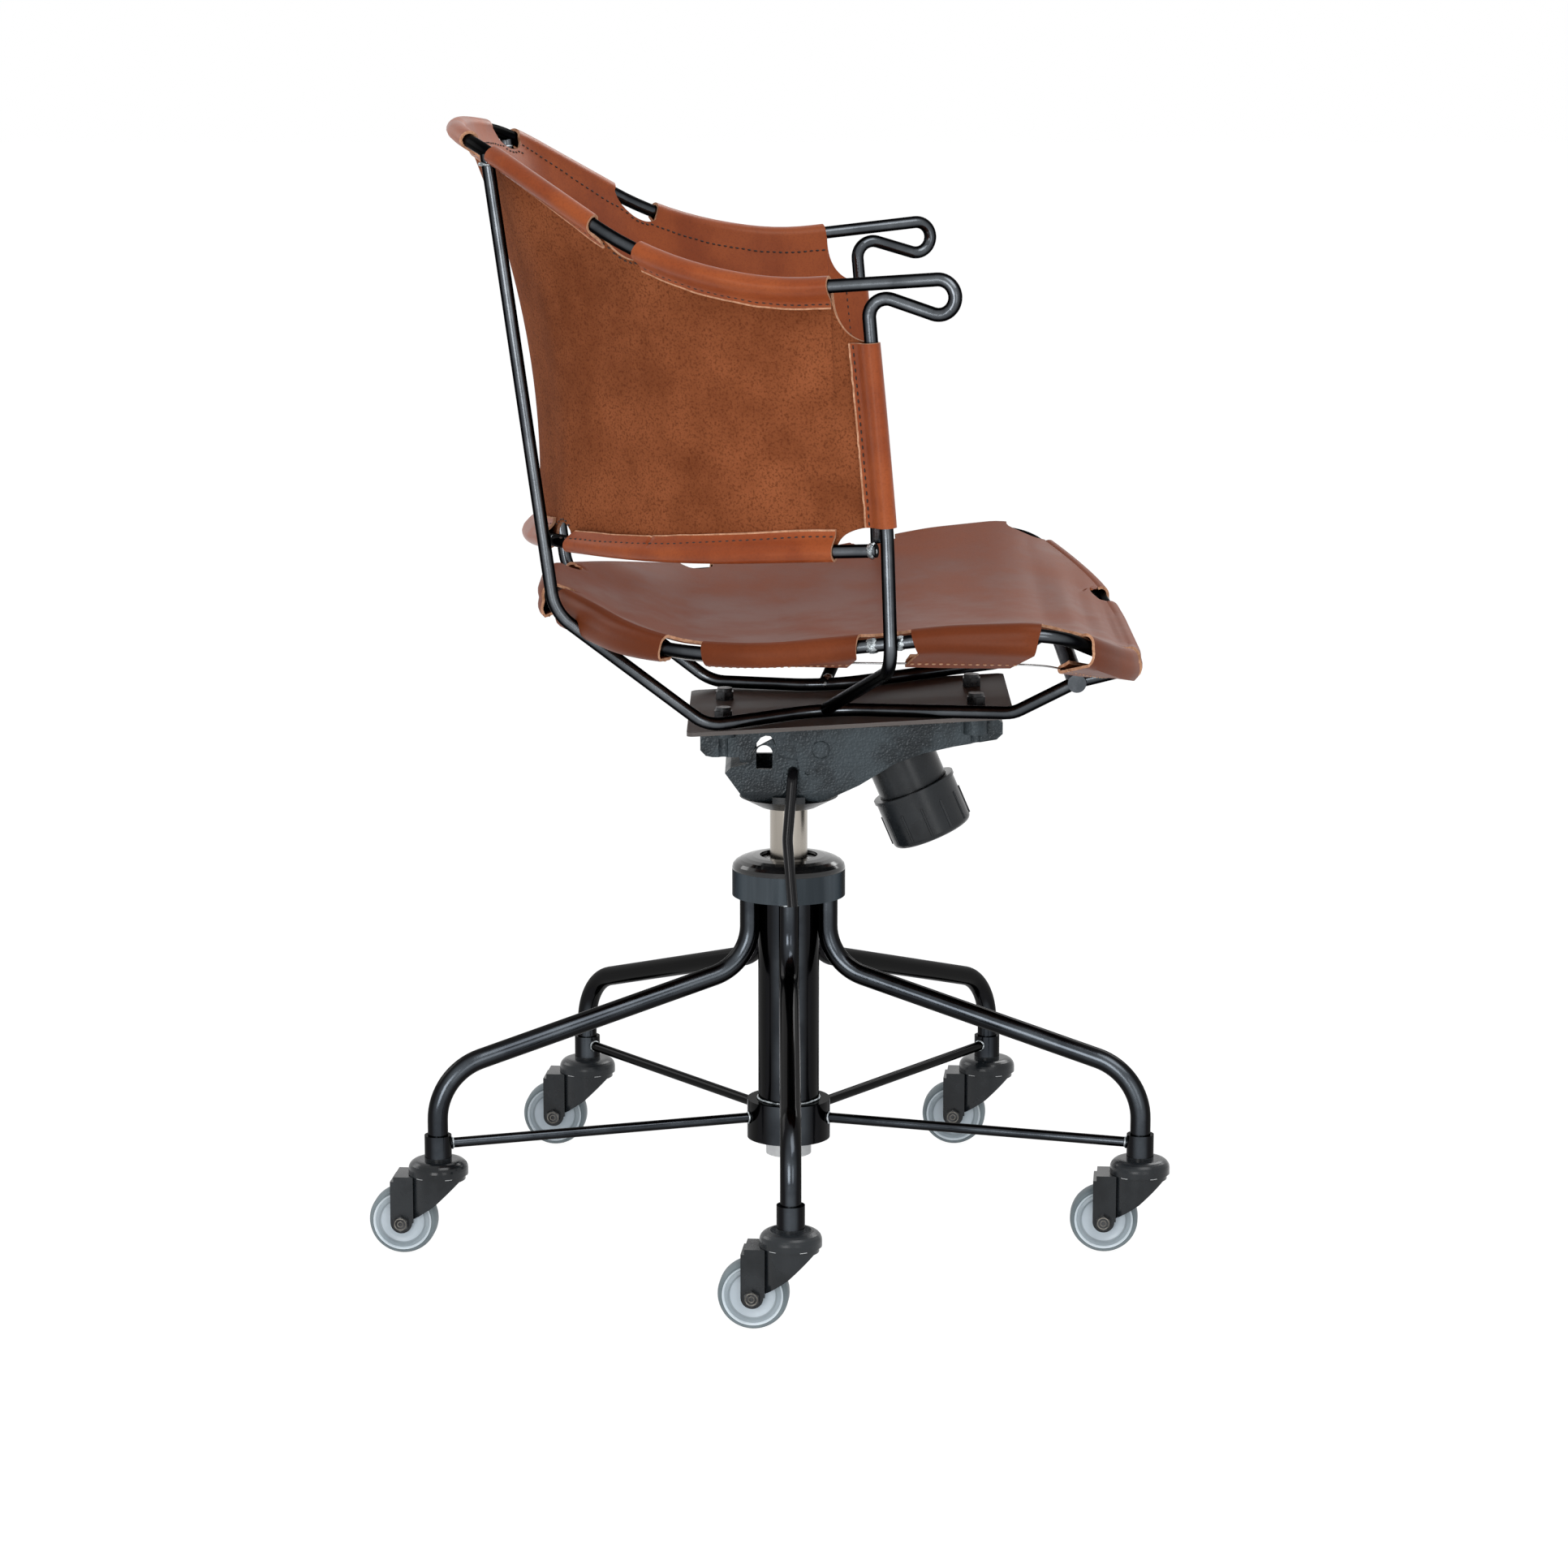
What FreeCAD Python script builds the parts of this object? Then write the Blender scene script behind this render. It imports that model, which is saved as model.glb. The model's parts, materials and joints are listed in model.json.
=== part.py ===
import FreeCAD
import Part
import math
import os

# Leather sling office chair on five casters, in millimetres.
# The origin is on the floor under the gas lift. +X is the sitter's left, -Y is the front of the
# seat and +Z is up.

Vector = FreeCAD.Vector
up_axis = Vector(0, 0, 1)
side_axis = Vector(1, 0, 0)

# Fits shared by the whole chair
weld_gap = 0.05
pin_gap = 0.05
slide_gap = 0.1
soft_gap = 0.3
swivel_gap = 0.4
overrun = 60.0
join_tolerance = 0.005
upright_cosine = 0.99

# Five bent legs
leg_count = 5
leg_turn_deg = 180.25
base_radius = 271.8
leg_tube_r = 7.5
leg_wall = 1.95
leg_slope_deg = 15.4
leg_shoulder_z = 201.2
leg_end_z = 72.5
leg_top_bend_r = 38.0
leg_end_bend_r = 45.0
sleeve_r = 10.0
sleeve_len = 16.5
strut_r = 3.75
strut_z = 82.0

# Column, bottom ring and collar
column_r = 22.9
column_wall = 1.7
ring_r = 31.2
ring_z = 65.3
ring_h = 29.7
plug_r = 17.0
plug_drop = 12.6
plug_seat_h = 5.0
collar_r = 42.2
collar_z = 252.0
collar_h = 20.0
collar_wall = 2.5
cap_h = 10.0
cap_wall = 2.0
cap_hole_r = 21.5
cap_edge_r = 1.2
dome_steps = 6

# Gas lift
gas_tube_r = 14.0
gas_tube_wall = 2.0
gas_rod_r = 5.0
gas_rod_foot_r = 12.0
gas_rod_foot_h = 4.0
gas_rod_len = 140.0
piston_h = 12.0
cylinder_wall = 1.5
cylinder_floor = 3.0
cylinder_show = 7.0
bush_len = 39.0
gas_tube_drop = 37.0
gland_h = 15.0
tube_end_h = 20.0
lift_gap = 45.0

# Casters
wheel_r = 25.0
wheel_width = 18.0
tyre_edge_r = 3.0
hub_r = 16.5
hub_width = 17.0
hub_dish = 2.0
hub_rim = 3.0
hub_boss_r = 6.5
hub_ring_r = 12.0
hub_ring_w = 1.2
bead_r = 21.5
bead_w = 1.0
wheel_axle_r = 3.0
caster_trail = 26.0
caster_yaw_deg = -5.0
dome_r = 22.0
dome_rim_h = 4.1
dome_h = 11.0
dome_neck_h = 1.6
dome_crest_r = 14.5
dome_neck_r = 10.0
dome_wall = 2.0
stem_r = 5.5
stem_grip = 30.0
king_r = 4.0
king_head_r = 7.0
king_head_h = 2.4
fork_disc_r = 20.0
fork_disc_h = 2.6
fork_disc_z = 56.0
fork_skirt_r = 20.5
fork_skirt_wall = 1.8
fork_skirt_lip = 0.9
fork_cheek_gap = 22.0
fork_cheek_wall = 3.0
fork_cheek_front = 17.0
fork_cheek_rear = 34.0
fork_foot_r = 8.0
fork_block_h = 3.7
fork_block_len = 14.5
fork_skirt_drop = 33.5
nut_flats = 10.0
nut_h = 4.0
bolt_head_h = 3.0
hex_sides = 6

# Tilt housing
housing_rear = 47.0
housing_len = 156.0
housing_h = 49.0
housing_half_w = 34.5
housing_wall = 4.0
housing_round_r = 9.0
socket_r = 20.0
socket_h = 14.0
lid_rise_share = 0.64
lid_front_share = 0.66
cap_bowl_r = 36.6
cap_bowl_foot_r = 21.0
cap_bowl_h = 8.0
cap_bowl_depth = 5.0
pivot_forward = 23.5
pivot_rise = 41.0
pivot_r = 6.0
lever_forward = 3.0
lever_rise = 24.0
lever_r = 4.0
lever_drop = 97.0
lever_reach = 55.0
lever_side = 42.0
lever_bend_r = 8.0
screw_forward = 13.8
screw_head_r = 6.4
screw_head_h = 2.0
screw_r = 4.0
screw_len = 6.0
screw_socket_r = 2.0
ear_hole_forward = -18.0
ear_hole_rise = 34.0
ear_hole_w = 12.0
ear_hole_h = 16.0
ear_hole_crown = 4.0

# Tension knob and its spring
knob_forward = 85.0
knob_rise = 25.0
knob_tilt_deg = 23.1
cup_r = 26.0
cup_wall = 3.0
cup_show = 18.8
cup_hidden = 15.0
knob_r = 30.6
knob_lip_r = 31.6
knob_lip_h = 2.5
knob_h = 39.0
knob_wall = 3.0
knob_edge_r = 4.0
knob_rib_r = 0.9
knob_rib_count = 12
knob_rib_share = 0.56
knob_bolt_r = 5.0
knob_recess = 4.9
spring_r = 16.0
spring_wire_r = 2.2
spring_turns = 3
spring_pitch = 6.0

# Tilt bracket and seat plate
bracket_half_w = 40.0
bracket_wall = 3.0
bracket_rear = 65.0
bracket_len = 222.0
bracket_drop = 29.0
bracket_h = 38.0
bracket_end_wall = 4.0
bracket_low_share = 0.37
roof_rear_share = 0.13
roof_front_share = 0.50
rear_roof_rise_share = 0.68
front_roof_rise_share = 0.74
plate_half_w = 92.0
plate_rear = 74.0
plate_len = 237.0
plate_t = 3.0
plate_slope = 0.0566
plate_rise = 26.6
plate_corner_r = 6.0
land_r = 9.0
bolt_side = 42.0
bolt_rear_forward = -48.0
bolt_front_forward = 137.0
bolt_r = 4.0
bolt_grip = 12.0
bolt_nut_flats = 13.0
bolt_nut_h = 6.0
bolt_collar_r = 5.6
bolt_collar_h = 2.6

# Rod frame: overall half width, reach in front of the lift, and rise above the seat plate
rod_r = 4.75
frame_half_w = 265.0
frame_reach = 248.0
frame_rise = 425.0
arm_slope_deg = 4.97
arm_heading_deg = 18.8
arm_bow_r = 229.0
loop_reach = 113.2
loop_r = 11.9
loop_turn_deg = 201.8
hump_reach = 77.1
hump_drop = 15.3
hump_r = 13.2
hump_turn_deg = 106.8
loop_corner_count = 3
hump_corner_count = 2
cross_bar_r = 6.6
cross_bar_end = 8.0
foot_forward = 26.3
foot_side = 54.0

# Leather
leather_t = 2.1
flap_len = 24.0
panel_bulge = 18.0
seat_sag = 32.0
sling_set = 0.5
hem_wire_r = 0.7
hem_r = 2.6
notch_depth = 20.0
seam_lap = 0.2
edge_gap_depth = 11.0
flap_gap_depth = 31.0
back_station_count = 13
seat_station_count = 25

# Shapes that follow the sizes above, as shares of them
# Lower edge of the fork's skirt: share of its radius behind the pin, share of its drop
fork_cut_shares = ((-3.000, -1.750), (-1.000, 0.000), (0.000, 0.580), (1.000, 1.030), (3.000, 1.900))
# Side outline of the tilt housing: share of its length from the rear, share of its height
housing_shares = (
    (0.000, 0.469), (0.083, 0.102), (0.173, 0.000), (0.442, 0.000), (0.635, 0.286),
    (0.827, 0.663), (1.000, 1.000), (0.885, 1.030), (0.705, 0.720), (0.572, 0.720),
    (0.540, 1.000), (0.365, 1.000), (0.327, 0.673), (0.269, 0.714), (0.244, 0.857),
    (0.224, 0.990), (0.147, 0.857), (0.103, 0.612), (0.026, 0.551),
)
# Lower edge and upper edge of the bracket wall: share of its length, share of its height
bracket_low_shares = (
    (0.000, 0.400), (0.018, 0.290), (0.040, 0.263), (0.122, 0.263), (0.130, 0.300), (0.130, 0.600),
    (0.150, 0.690), (0.250, 0.700), (0.310, 0.640), (0.329, 0.010), (0.491, 0.092), (0.662, 0.171),
    (0.740, 0.340), (0.838, 0.470), (0.980, 0.610),
)
bracket_high_shares = (
    (1.000, 0.720), (1.000, 0.940), (0.985, 1.000), (0.845, 0.965), (0.835, 0.930), (0.668, 0.900),
    (0.658, 0.860), (0.330, 0.820), (0.135, 0.790), (0.010, 0.770), (0.000, 0.740),
)
# Rods: share of the half width, share of the reach, share of the rise, bend radius as a share of
# the reach
back_rod_shares = (
    (0.0000, -0.9680, 1.0000, 0.00), (0.1925, -0.9680, 1.0000, 0.89),
    (0.4530, -0.8550, 0.9765, 0.355), (0.7925, -0.3690, 0.8004, 1.03),
)
arm_start_shares = (0.8868, -0.0282, 0.7715)
upright_top_shares = (0.9170, 0.2702, 0.3824, 1.00)
upright_foot_shares = (0.9264, 0.2831, 0.1586, 0.09)
low_rod_shares = (
    (0.0000, -0.7620, 0.3118, 0.00), (0.1170, -0.7620, 0.3118, 0.80),
    (0.3870, -0.6650, 0.3235, 0.24), (0.6930, -0.3510, 0.3260, 1.20),
    (0.9057, 0.2420, 0.3518, 0.00),
)
seat_ring_shares = (
    (0.0000, -0.7080, 0.2035, 0.00), (0.1700, -0.7080, 0.2035, 0.205),
    (0.7260, -0.3690, 0.1612, 0.77), (0.8020, -0.0290, 0.1706, 1.20),
    (0.9330, 0.4500, 0.2132, 1.00),
    (1.0010, 0.7350, 0.2250, 0.15), (0.7250, 0.9580, 0.1475, 0.80),
    (0.2770, 1.0000, 0.1153, 0.40), (0.0000, 1.0000, 0.1153, 0.00),
)
rail_top_shares = (0.4377, -0.8550, 0.9718, 0.00)
rail_rear_shares = (0.3820, -0.6774, 0.2012, 0.14)
rail_low_shares = (0.3660, -0.2380, 0.0051, 0.11)
rail_mid_shares = (0.1887, 0.1113, 0.24)
rail_turn_shares = (0.4189, 0.6492, 0.11)
rail_front_shares = (0.4830, 0.8266, 0.0929, 0.16)
rail_end_shares = (0.5283, 0.9840, 0.1210, 0.00)
# Hem wire: share of the half width, share of the reach, bend radius as a share of the reach
hem_shares = (
    (0.0000, -0.6700, 0.1860, 0.00),
    (0.1900, -0.6700, 0.1860, 0.15),
    (0.6550, -0.3300, 0.1412, 0.60),
    (0.7300, -0.0200, 0.1515, 0.90),
    (0.9200, 0.6900, 0.1673, 0.10),
    (0.6500, 0.8800, 0.1212, 0.50),
    (0.2500, 0.9200, 0.1209, 0.30),
    (0.0000, 0.9200, 0.1209, 0.00),
)
# Sag of the seat leather: share of the reach, share of the deepest sag
sag_shares = (
    (-0.72, 0.00), (-0.65, 0.09), (-0.48, 0.37), (-0.29, 0.62), (0.00, 0.75), (0.26, 0.88),
    (0.56, 1.00), (0.75, 1.00), (0.87, 0.62), (0.95, 0.37), (1.01, 0.00),
)
# Bulge of the back's leather towards the sitter: share of the way round, share of the bulge
bulge_shares = ((0.00, 1.00), (0.25, 0.90), (0.45, 0.45), (0.70, 0.25), (1.00, 0.10))
# Bare stretches of rod between the leather rolls, as shares of the reach
top_gap_side_shares = (0.320, 0.455)
arm_gap_shares = (-0.552, -0.419)
low_gap_side_shares = (0.302, 0.412)
top_roll_end_share = 0.109
low_roll_end_share = 0.125
upright_roll_shares = (0.390, 0.690)
seat_side_gap_shares = ((-0.343, -0.242), (0.202, 0.343), (0.694, 0.819))
seat_front_gap_shares = (0.415, 0.566)
seat_rear_gap_shares = (0.190, 0.250)

# Heights that follow from the sizes above
leg_r = column_r + leg_tube_r + weld_gap
sleeve_z = leg_end_z
cap_top_z = collar_z + collar_h + cap_h
housing_z = cap_top_z + lift_gap
pivot_z = housing_z + pivot_rise
lever_z = housing_z + lever_rise
plate_z = pivot_z + plate_rise
roll_r = rod_r + soft_gap + leather_t
roll_bore_r = rod_r + soft_gap


def at(side, forward, up):
    """Point from its side, forward and up distances."""
    return Vector(side, -forward, up)


def polar(radius, angle_deg, up):
    """Point at a radius and angle around the lift."""
    angle = math.radians(angle_deg)
    return Vector(radius * math.cos(angle), radius * math.sin(angle), up)


def plate_top(forward):
    """Height of the seat plate's upper face."""
    return plate_z + forward * plate_slope


def frame_point(shares):
    """Point of the rod frame from its shares of half width, reach and rise."""
    return at(shares[0] * frame_half_w, shares[1] * frame_reach, plate_z + shares[2] * frame_rise)


def frame_path(rows):
    """Points and bend radii of a rod from its table of shares."""
    return [frame_point(row) for row in rows], [row[3] * frame_reach for row in rows]


def bend_trims(points, radii):
    """How far each bend takes off its runs, kept within the runs that it joins."""
    trims = [0.0]
    for before, corner, after, radius in zip(points, points[1:], points[2:], radii[1:]):
        turn = (corner - before).getAngle(after - corner)
        trims.append(radius * math.tan(turn / 2))
    trims.append(0.0)
    runs = [(end - start).Length for start, end in zip(points, points[1:])]
    shares = [min(1.0, run / max(run, first + second))
              for run, first, second in zip(runs, trims, trims[1:])]
    return [trim * min(shares[max(i - 1, 0)], shares[min(i, len(shares) - 1)])
            for i, trim in enumerate(trims)]


def bent_wire(points, radii):
    """Straight runs joined by tangent arcs, one radius for each point."""
    trims = bend_trims(points, radii)
    edges = []
    tip = points[0]
    for i in range(1, len(points) - 1):
        run_in = (points[i] - points[i - 1]).normalize()
        run_out = (points[i + 1] - points[i]).normalize()
        start = points[i] - run_in * trims[i]
        stop = points[i] + run_out * trims[i]
        if (start - tip).Length > join_tolerance:
            edges.append(Part.LineSegment(tip, start).toShape())
        else:
            start = tip
        half_turn = run_in.getAngle(run_out) / 2
        radius = trims[i] / math.tan(half_turn)
        inward = (run_out - run_in).normalize()
        middle = points[i] + inward * (radius / math.cos(half_turn) - radius)
        edges.append(Part.Arc(start, middle, stop).toShape())
        tip = stop
    edges.append(Part.LineSegment(tip, points[-1]).toShape())
    return Part.Wire(edges)


def rod_along(points, radii, radius):
    """Round rod or tube filling along a bent path."""
    path = bent_wire(points, radii)
    start = path.Edges[0].valueAt(path.Edges[0].FirstParameter)
    direction = points[1] - points[0]
    ring = Part.Wire(Part.Circle(start, direction, radius).toShape())
    return path.makePipeShell([ring], True, False)


def straight_rod(start, end, radius):
    """Round bar between two points."""
    run = end - start
    return Part.makeCylinder(radius, run.Length, start, run)


def longer(start, end, extra):
    """End point of a run that is made longer by the extra length."""
    return end + (end - start).normalize() * extra


def mirrored(shape):
    """The same shape on the other side of the chair."""
    return shape.mirror(Vector(0, 0, 0), side_axis)


def both_halves(shape):
    """One solid of a half and its mirror image."""
    return joined([shape, mirrored(shape)])


def joined(shapes):
    """One shape of several that meet."""
    return shapes[0].fuse(shapes[1:]).removeSplitter()


def grown(shape, additions):
    """One shape with others added one after another."""
    for addition in additions:
        shape = shape.fuse(addition)
    return shape


def worn_away(shape, cutters):
    """What cutters leave of a shape, taken one after another."""
    for cutter in cutters:
        shape = shape.cut(cutter)
    return shape


def largest(shape):
    """The largest solid of a shape that was cut."""
    return max(shape.Solids, key=lambda solid: solid.Volume)


def turned(points, centre):
    """Solid turned about the upright axis through a centre, from radius and height pairs."""
    corners = [centre + Vector(radius, 0, up) for radius, up in points]
    face = Part.Face(Part.makePolygon(corners + corners[:1]))
    return face.revolve(centre, up_axis, 360)


def bored(radius, bore, height, centre):
    """Upright ring from its outer radius, bore and height."""
    outer = Part.makeCylinder(radius, height, centre)
    return outer.cut(Part.makeCylinder(bore, height + 2 * overrun, centre - up_axis * overrun))


def side_prism(outline, half_width):
    """Solid with a side outline of forward and up pairs, as wide as twice the half width."""
    corners = [at(-half_width, forward, up) for forward, up in outline]
    face = Part.Face(Part.makePolygon(corners + corners[:1]))
    return face.extrude(Vector(2 * half_width, 0, 0))


def block(side, forward, up):
    """Box from its lowest and highest side, forward and up."""
    corner = at(side[0], forward[1], up[0])
    return Part.makeBox(side[1] - side[0], forward[1] - forward[0], up[1] - up[0], corner)


def hexagon(flats, height, centre, direction):
    """Six-sided bar from its width over flats."""
    across = flats / math.cos(math.pi / hex_sides) / 2
    angles = [math.radians(i * 360 / hex_sides) for i in range(hex_sides)]
    corners = [Vector(across * math.cos(a), across * math.sin(a), 0) for a in angles]
    bar = Part.Face(Part.makePolygon(corners + corners[:1])).extrude(Vector(0, 0, height))
    bar.Placement = FreeCAD.Placement(centre, FreeCAD.Rotation(up_axis, direction))
    return bar


def turned_about_lift(shape, angle_deg):
    """Copy of a shape turned about the lift's axis."""
    copy = shape.copy()
    copy.rotate(Vector(0, 0, 0), up_axis, angle_deg)
    return copy


def leg_path():
    """Points and radii of a leg along +X, from the collar down to its end."""
    drop = (base_radius - leg_r) * math.tan(math.radians(leg_slope_deg))
    points = [
        Vector(leg_r, 0, collar_z - weld_gap),
        Vector(leg_r, 0, leg_shoulder_z),
        Vector(base_radius, 0, leg_shoulder_z - drop),
        Vector(base_radius, 0, leg_end_z),
    ]
    return points, [0, leg_top_bend_r, leg_end_bend_r, 0]


def leg_shape():
    """Hollow bent leg tube along +X."""
    points, radii = leg_path()
    tube = rod_along(points, radii, leg_tube_r)
    return tube.cut(rod_along(points, radii, leg_tube_r - leg_wall))


def base_nodes():
    """Legs, struts, sleeves, column, bottom ring, plug, collar and its cap."""
    nodes = {}
    leg = leg_shape()
    sleeve = bored(sleeve_r, leg_tube_r + weld_gap, sleeve_len, Vector(base_radius, 0, sleeve_z))
    strut = straight_rod(Vector(column_r, 0, strut_z), Vector(base_radius, 0, strut_z), strut_r)
    strut = strut.cut(Part.makeCylinder(ring_r + weld_gap, collar_z))
    strut = strut.cut(Part.makeCylinder(sleeve_r + weld_gap, collar_z, Vector(base_radius, 0, 0)))
    sleeves = []
    struts = []
    for i in range(leg_count):
        angle = leg_turn_deg + i * 360 / leg_count
        nodes["leg_%d" % (i + 1)] = turned_about_lift(leg, angle)
        sleeves.append(turned_about_lift(sleeve, angle))
        struts.append(turned_about_lift(strut, angle))
    nodes["leg_sleeves"] = Part.makeCompound(sleeves)
    nodes["leg_struts"] = Part.makeCompound(struts)

    column_bore = column_r - column_wall
    floor_point = Vector(0, 0, ring_z)
    column_h = collar_z + collar_h / 2 - ring_z
    nodes["column_tube"] = bored(column_r, column_bore, column_h, floor_point)
    nodes["bottom_ring"] = bored(ring_r, column_r + weld_gap, ring_h, floor_point)
    plug_top = plug_drop + plug_seat_h
    nodes["column_plug"] = turned(
        [(0, 0), (plug_r, 0), (plug_r, plug_drop), (column_bore - pin_gap, plug_drop),
         (column_bore - pin_gap, plug_top), (0, plug_top)],
        Vector(0, 0, ring_z - plug_drop))

    band_r = collar_r - collar_wall
    nodes["top_collar"] = turned(
        [(column_r + weld_gap, 0), (collar_r, 0), (collar_r, collar_h), (band_r, collar_h),
         (band_r, collar_wall), (column_r + weld_gap, collar_wall)],
        Vector(0, 0, collar_z))
    nodes["collar_cap"] = collar_cap()
    return nodes


def collar_cap():
    """Domed cap on the collar with the hole for the lift."""
    centre = Vector(0, 0, collar_z + collar_h + weld_gap)
    dome = dome_solid(collar_r, cap_h, cap_hole_r, cap_edge_r, centre)
    inside = dome_solid(collar_r - cap_wall, cap_h - cap_wall, cap_hole_r, 0, centre)
    shell = dome.cut(inside)
    return shell.cut(Part.makeCylinder(cap_hole_r, 2 * overrun, centre - up_axis * overrun))


def dome_solid(rim_r, height, crest_r, rim_h, centre):
    """Solid dome with a quarter-ellipse side from its rim to its flat crest."""
    wide = rim_r - crest_r
    tall = height - rim_h
    quarter = [math.radians(90 * i / dome_steps) for i in range(dome_steps + 1)]
    side = [(crest_r + wide * math.cos(a), rim_h + tall * math.sin(a)) for a in quarter]
    rim = [(rim_r, 0)] if rim_h else []
    return turned([(0, 0)] + rim + side + [(0, height)], centre)


def gas_lift_nodes():
    """Outer cylinder in the column, piston rod and the tube that slides."""
    nodes = {}
    outer_r = column_r - column_wall - soft_gap
    foot_z = ring_z + plug_seat_h + pin_gap
    top_z = collar_z + collar_h + cylinder_show
    bush_z = top_z - bush_len
    cylinder = Part.makeCylinder(outer_r, top_z - foot_z, Vector(0, 0, foot_z))
    room_z = foot_z + cylinder_floor
    room = Part.makeCylinder(outer_r - cylinder_wall, bush_z - room_z, Vector(0, 0, room_z))
    guide = Part.makeCylinder(gas_tube_r + pin_gap, top_z - room_z + overrun, Vector(0, 0, room_z))
    nodes["gas_cylinder"] = cylinder.cut(room.fuse(guide))

    rod_z = room_z + soft_gap
    piston_r = gas_tube_r - gas_tube_wall - slide_gap
    piston_z = rod_z + gas_rod_len - piston_h
    nodes["gas_rod"] = joined([
        Part.makeCylinder(gas_rod_foot_r, gas_rod_foot_h, Vector(0, 0, rod_z)),
        Part.makeCylinder(gas_rod_r, gas_rod_len, Vector(0, 0, rod_z)),
        Part.makeCylinder(piston_r, piston_h, Vector(0, 0, piston_z)),
    ])

    tube_z = rod_z + gas_tube_drop
    tube_top = housing_z + socket_h
    tube = Part.makeCylinder(gas_tube_r, tube_top - tube_z, Vector(0, 0, tube_z))
    chamber_z = tube_z + gland_h
    chamber_h = tube_top - tube_end_h - chamber_z
    bore_r = gas_tube_r - gas_tube_wall
    tube = tube.cut(Part.makeCylinder(bore_r, chamber_h, Vector(0, 0, chamber_z)))
    gland_z = tube_z - overrun / 2
    gland = Part.makeCylinder(gas_rod_r + pin_gap, gland_h + overrun, Vector(0, 0, gland_z))
    tube = tube.cut(gland)
    nodes["gas_tube"] = tube
    return nodes


def caster_stem():
    """Stem with its domed swivel cap and kingpin, on the caster's own axis."""
    rim_z = leg_end_z - dome_neck_h - dome_h
    foot = Vector(0, 0, rim_z)
    dome = dome_solid(dome_r, dome_h, dome_crest_r, dome_rim_h, foot)
    neck = Part.makeCylinder(dome_neck_r, dome_neck_h, Vector(0, 0, rim_z + dome_h - weld_gap))
    room = Part.makeCylinder(dome_r - dome_wall, dome_rim_h, foot)
    disc_top = fork_disc_z + fork_disc_h
    pin_z = fork_disc_z - slide_gap - king_head_h
    pin = Part.makeCylinder(king_r, rim_z + dome_h / 2 - pin_z, Vector(0, 0, pin_z))
    head = Part.makeCylinder(king_head_r, king_head_h, Vector(0, 0, pin_z))
    bearing_h = rim_z + dome_rim_h - disc_top - slide_gap
    bearing = Part.makeCylinder(king_head_r, bearing_h, Vector(0, 0, disc_top + slide_gap))
    stem = Part.makeCylinder(stem_r, stem_grip + dome_h, Vector(0, 0, leg_end_z - dome_h))
    return joined([dome.cut(room), neck, bearing, pin, head, stem])


def caster_fork():
    """Fork that swivels under the dome and trails the wheel towards the rear."""
    axle = Vector(0, caster_trail, wheel_r)
    cheek_in = fork_cheek_gap / 2
    cheek_out = cheek_in + fork_cheek_wall
    rim_z = leg_end_z - dome_neck_h - dome_h
    skirt_top = fork_disc_z + fork_disc_h + fork_skirt_lip
    disc = Part.makeCylinder(fork_disc_r, fork_disc_h, Vector(0, 0, fork_disc_z))
    skirt = bored(fork_skirt_r, fork_skirt_r - fork_skirt_wall, skirt_top - wheel_r, Vector(0, 0, wheel_r))
    edge = [(rear * fork_skirt_r, skirt_top - weld_gap - share * fork_skirt_drop)
            for rear, share in fork_cut_shares]
    under = [Vector(-overrun, rear, up) for rear, up in edge]
    under += [Vector(-overrun, edge[-1][0], -overrun), Vector(-overrun, edge[0][0], -overrun)]
    below = Part.Face(Part.makePolygon(under + under[:1])).extrude(Vector(2 * overrun, 0, 0))
    skirt = skirt.cut(below)
    cheek_h = fork_disc_z + weld_gap - wheel_r
    cheek_w = 2 * cheek_out
    cheek_len = fork_cheek_rear - fork_cheek_front
    cheeks = Part.makeBox(cheek_w, cheek_len, cheek_h, Vector(-cheek_out, fork_cheek_front, wheel_r))
    foot = Part.makeCylinder(fork_foot_r, cheek_w, axle - side_axis * cheek_out, side_axis)
    block_w = 2 * cheek_out
    rear_block = Part.makeBox(
        block_w, fork_block_len, fork_block_h, Vector(-cheek_out, fork_cheek_front, fork_disc_z))
    clear = Part.makeCylinder(
        dome_r + swivel_gap, overrun, Vector(0, 0, rim_z - swivel_gap))
    fork = joined([disc, skirt, cheeks, foot, rear_block.cut(clear)])
    slot_w = 2 * cheek_in
    slot = Part.makeBox(
        slot_w, 2 * overrun, fork_disc_z + overrun,
        Vector(-cheek_in, caster_trail - wheel_r - king_head_h, -overrun))
    pin_room = Part.makeCylinder(king_head_r + pin_gap, fork_disc_z)
    hole = Part.makeCylinder(king_r + pin_gap, 2 * overrun)
    bolt = Part.makeCylinder(wheel_axle_r + pin_gap, 2 * overrun, axle - side_axis * overrun, side_axis)
    fork = fork.cut([slot, hole, bolt, pin_room])
    return largest(fork)


def caster_axle():
    """Wheel bolt with its head and nut."""
    half = fork_cheek_gap / 2 + fork_cheek_wall + weld_gap
    centre = Vector(0, caster_trail, wheel_r)
    shank = Part.makeCylinder(wheel_axle_r, 2 * half, centre - side_axis * half, side_axis)
    nut = hexagon(nut_flats, nut_h, centre - side_axis * (half + nut_h), side_axis)
    head = Part.makeCylinder(nut_flats / 2, bolt_head_h, centre + side_axis * half, side_axis)
    return joined([nut, shank, head])


def wheel_ring(radius, bore, half, centre):
    """Ring about the wheel's axle."""
    outer = Part.makeCylinder(radius, 2 * half, centre - side_axis * half, side_axis)
    return outer.cut(Part.makeCylinder(bore, 2 * overrun, centre - side_axis * overrun, side_axis))


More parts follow.
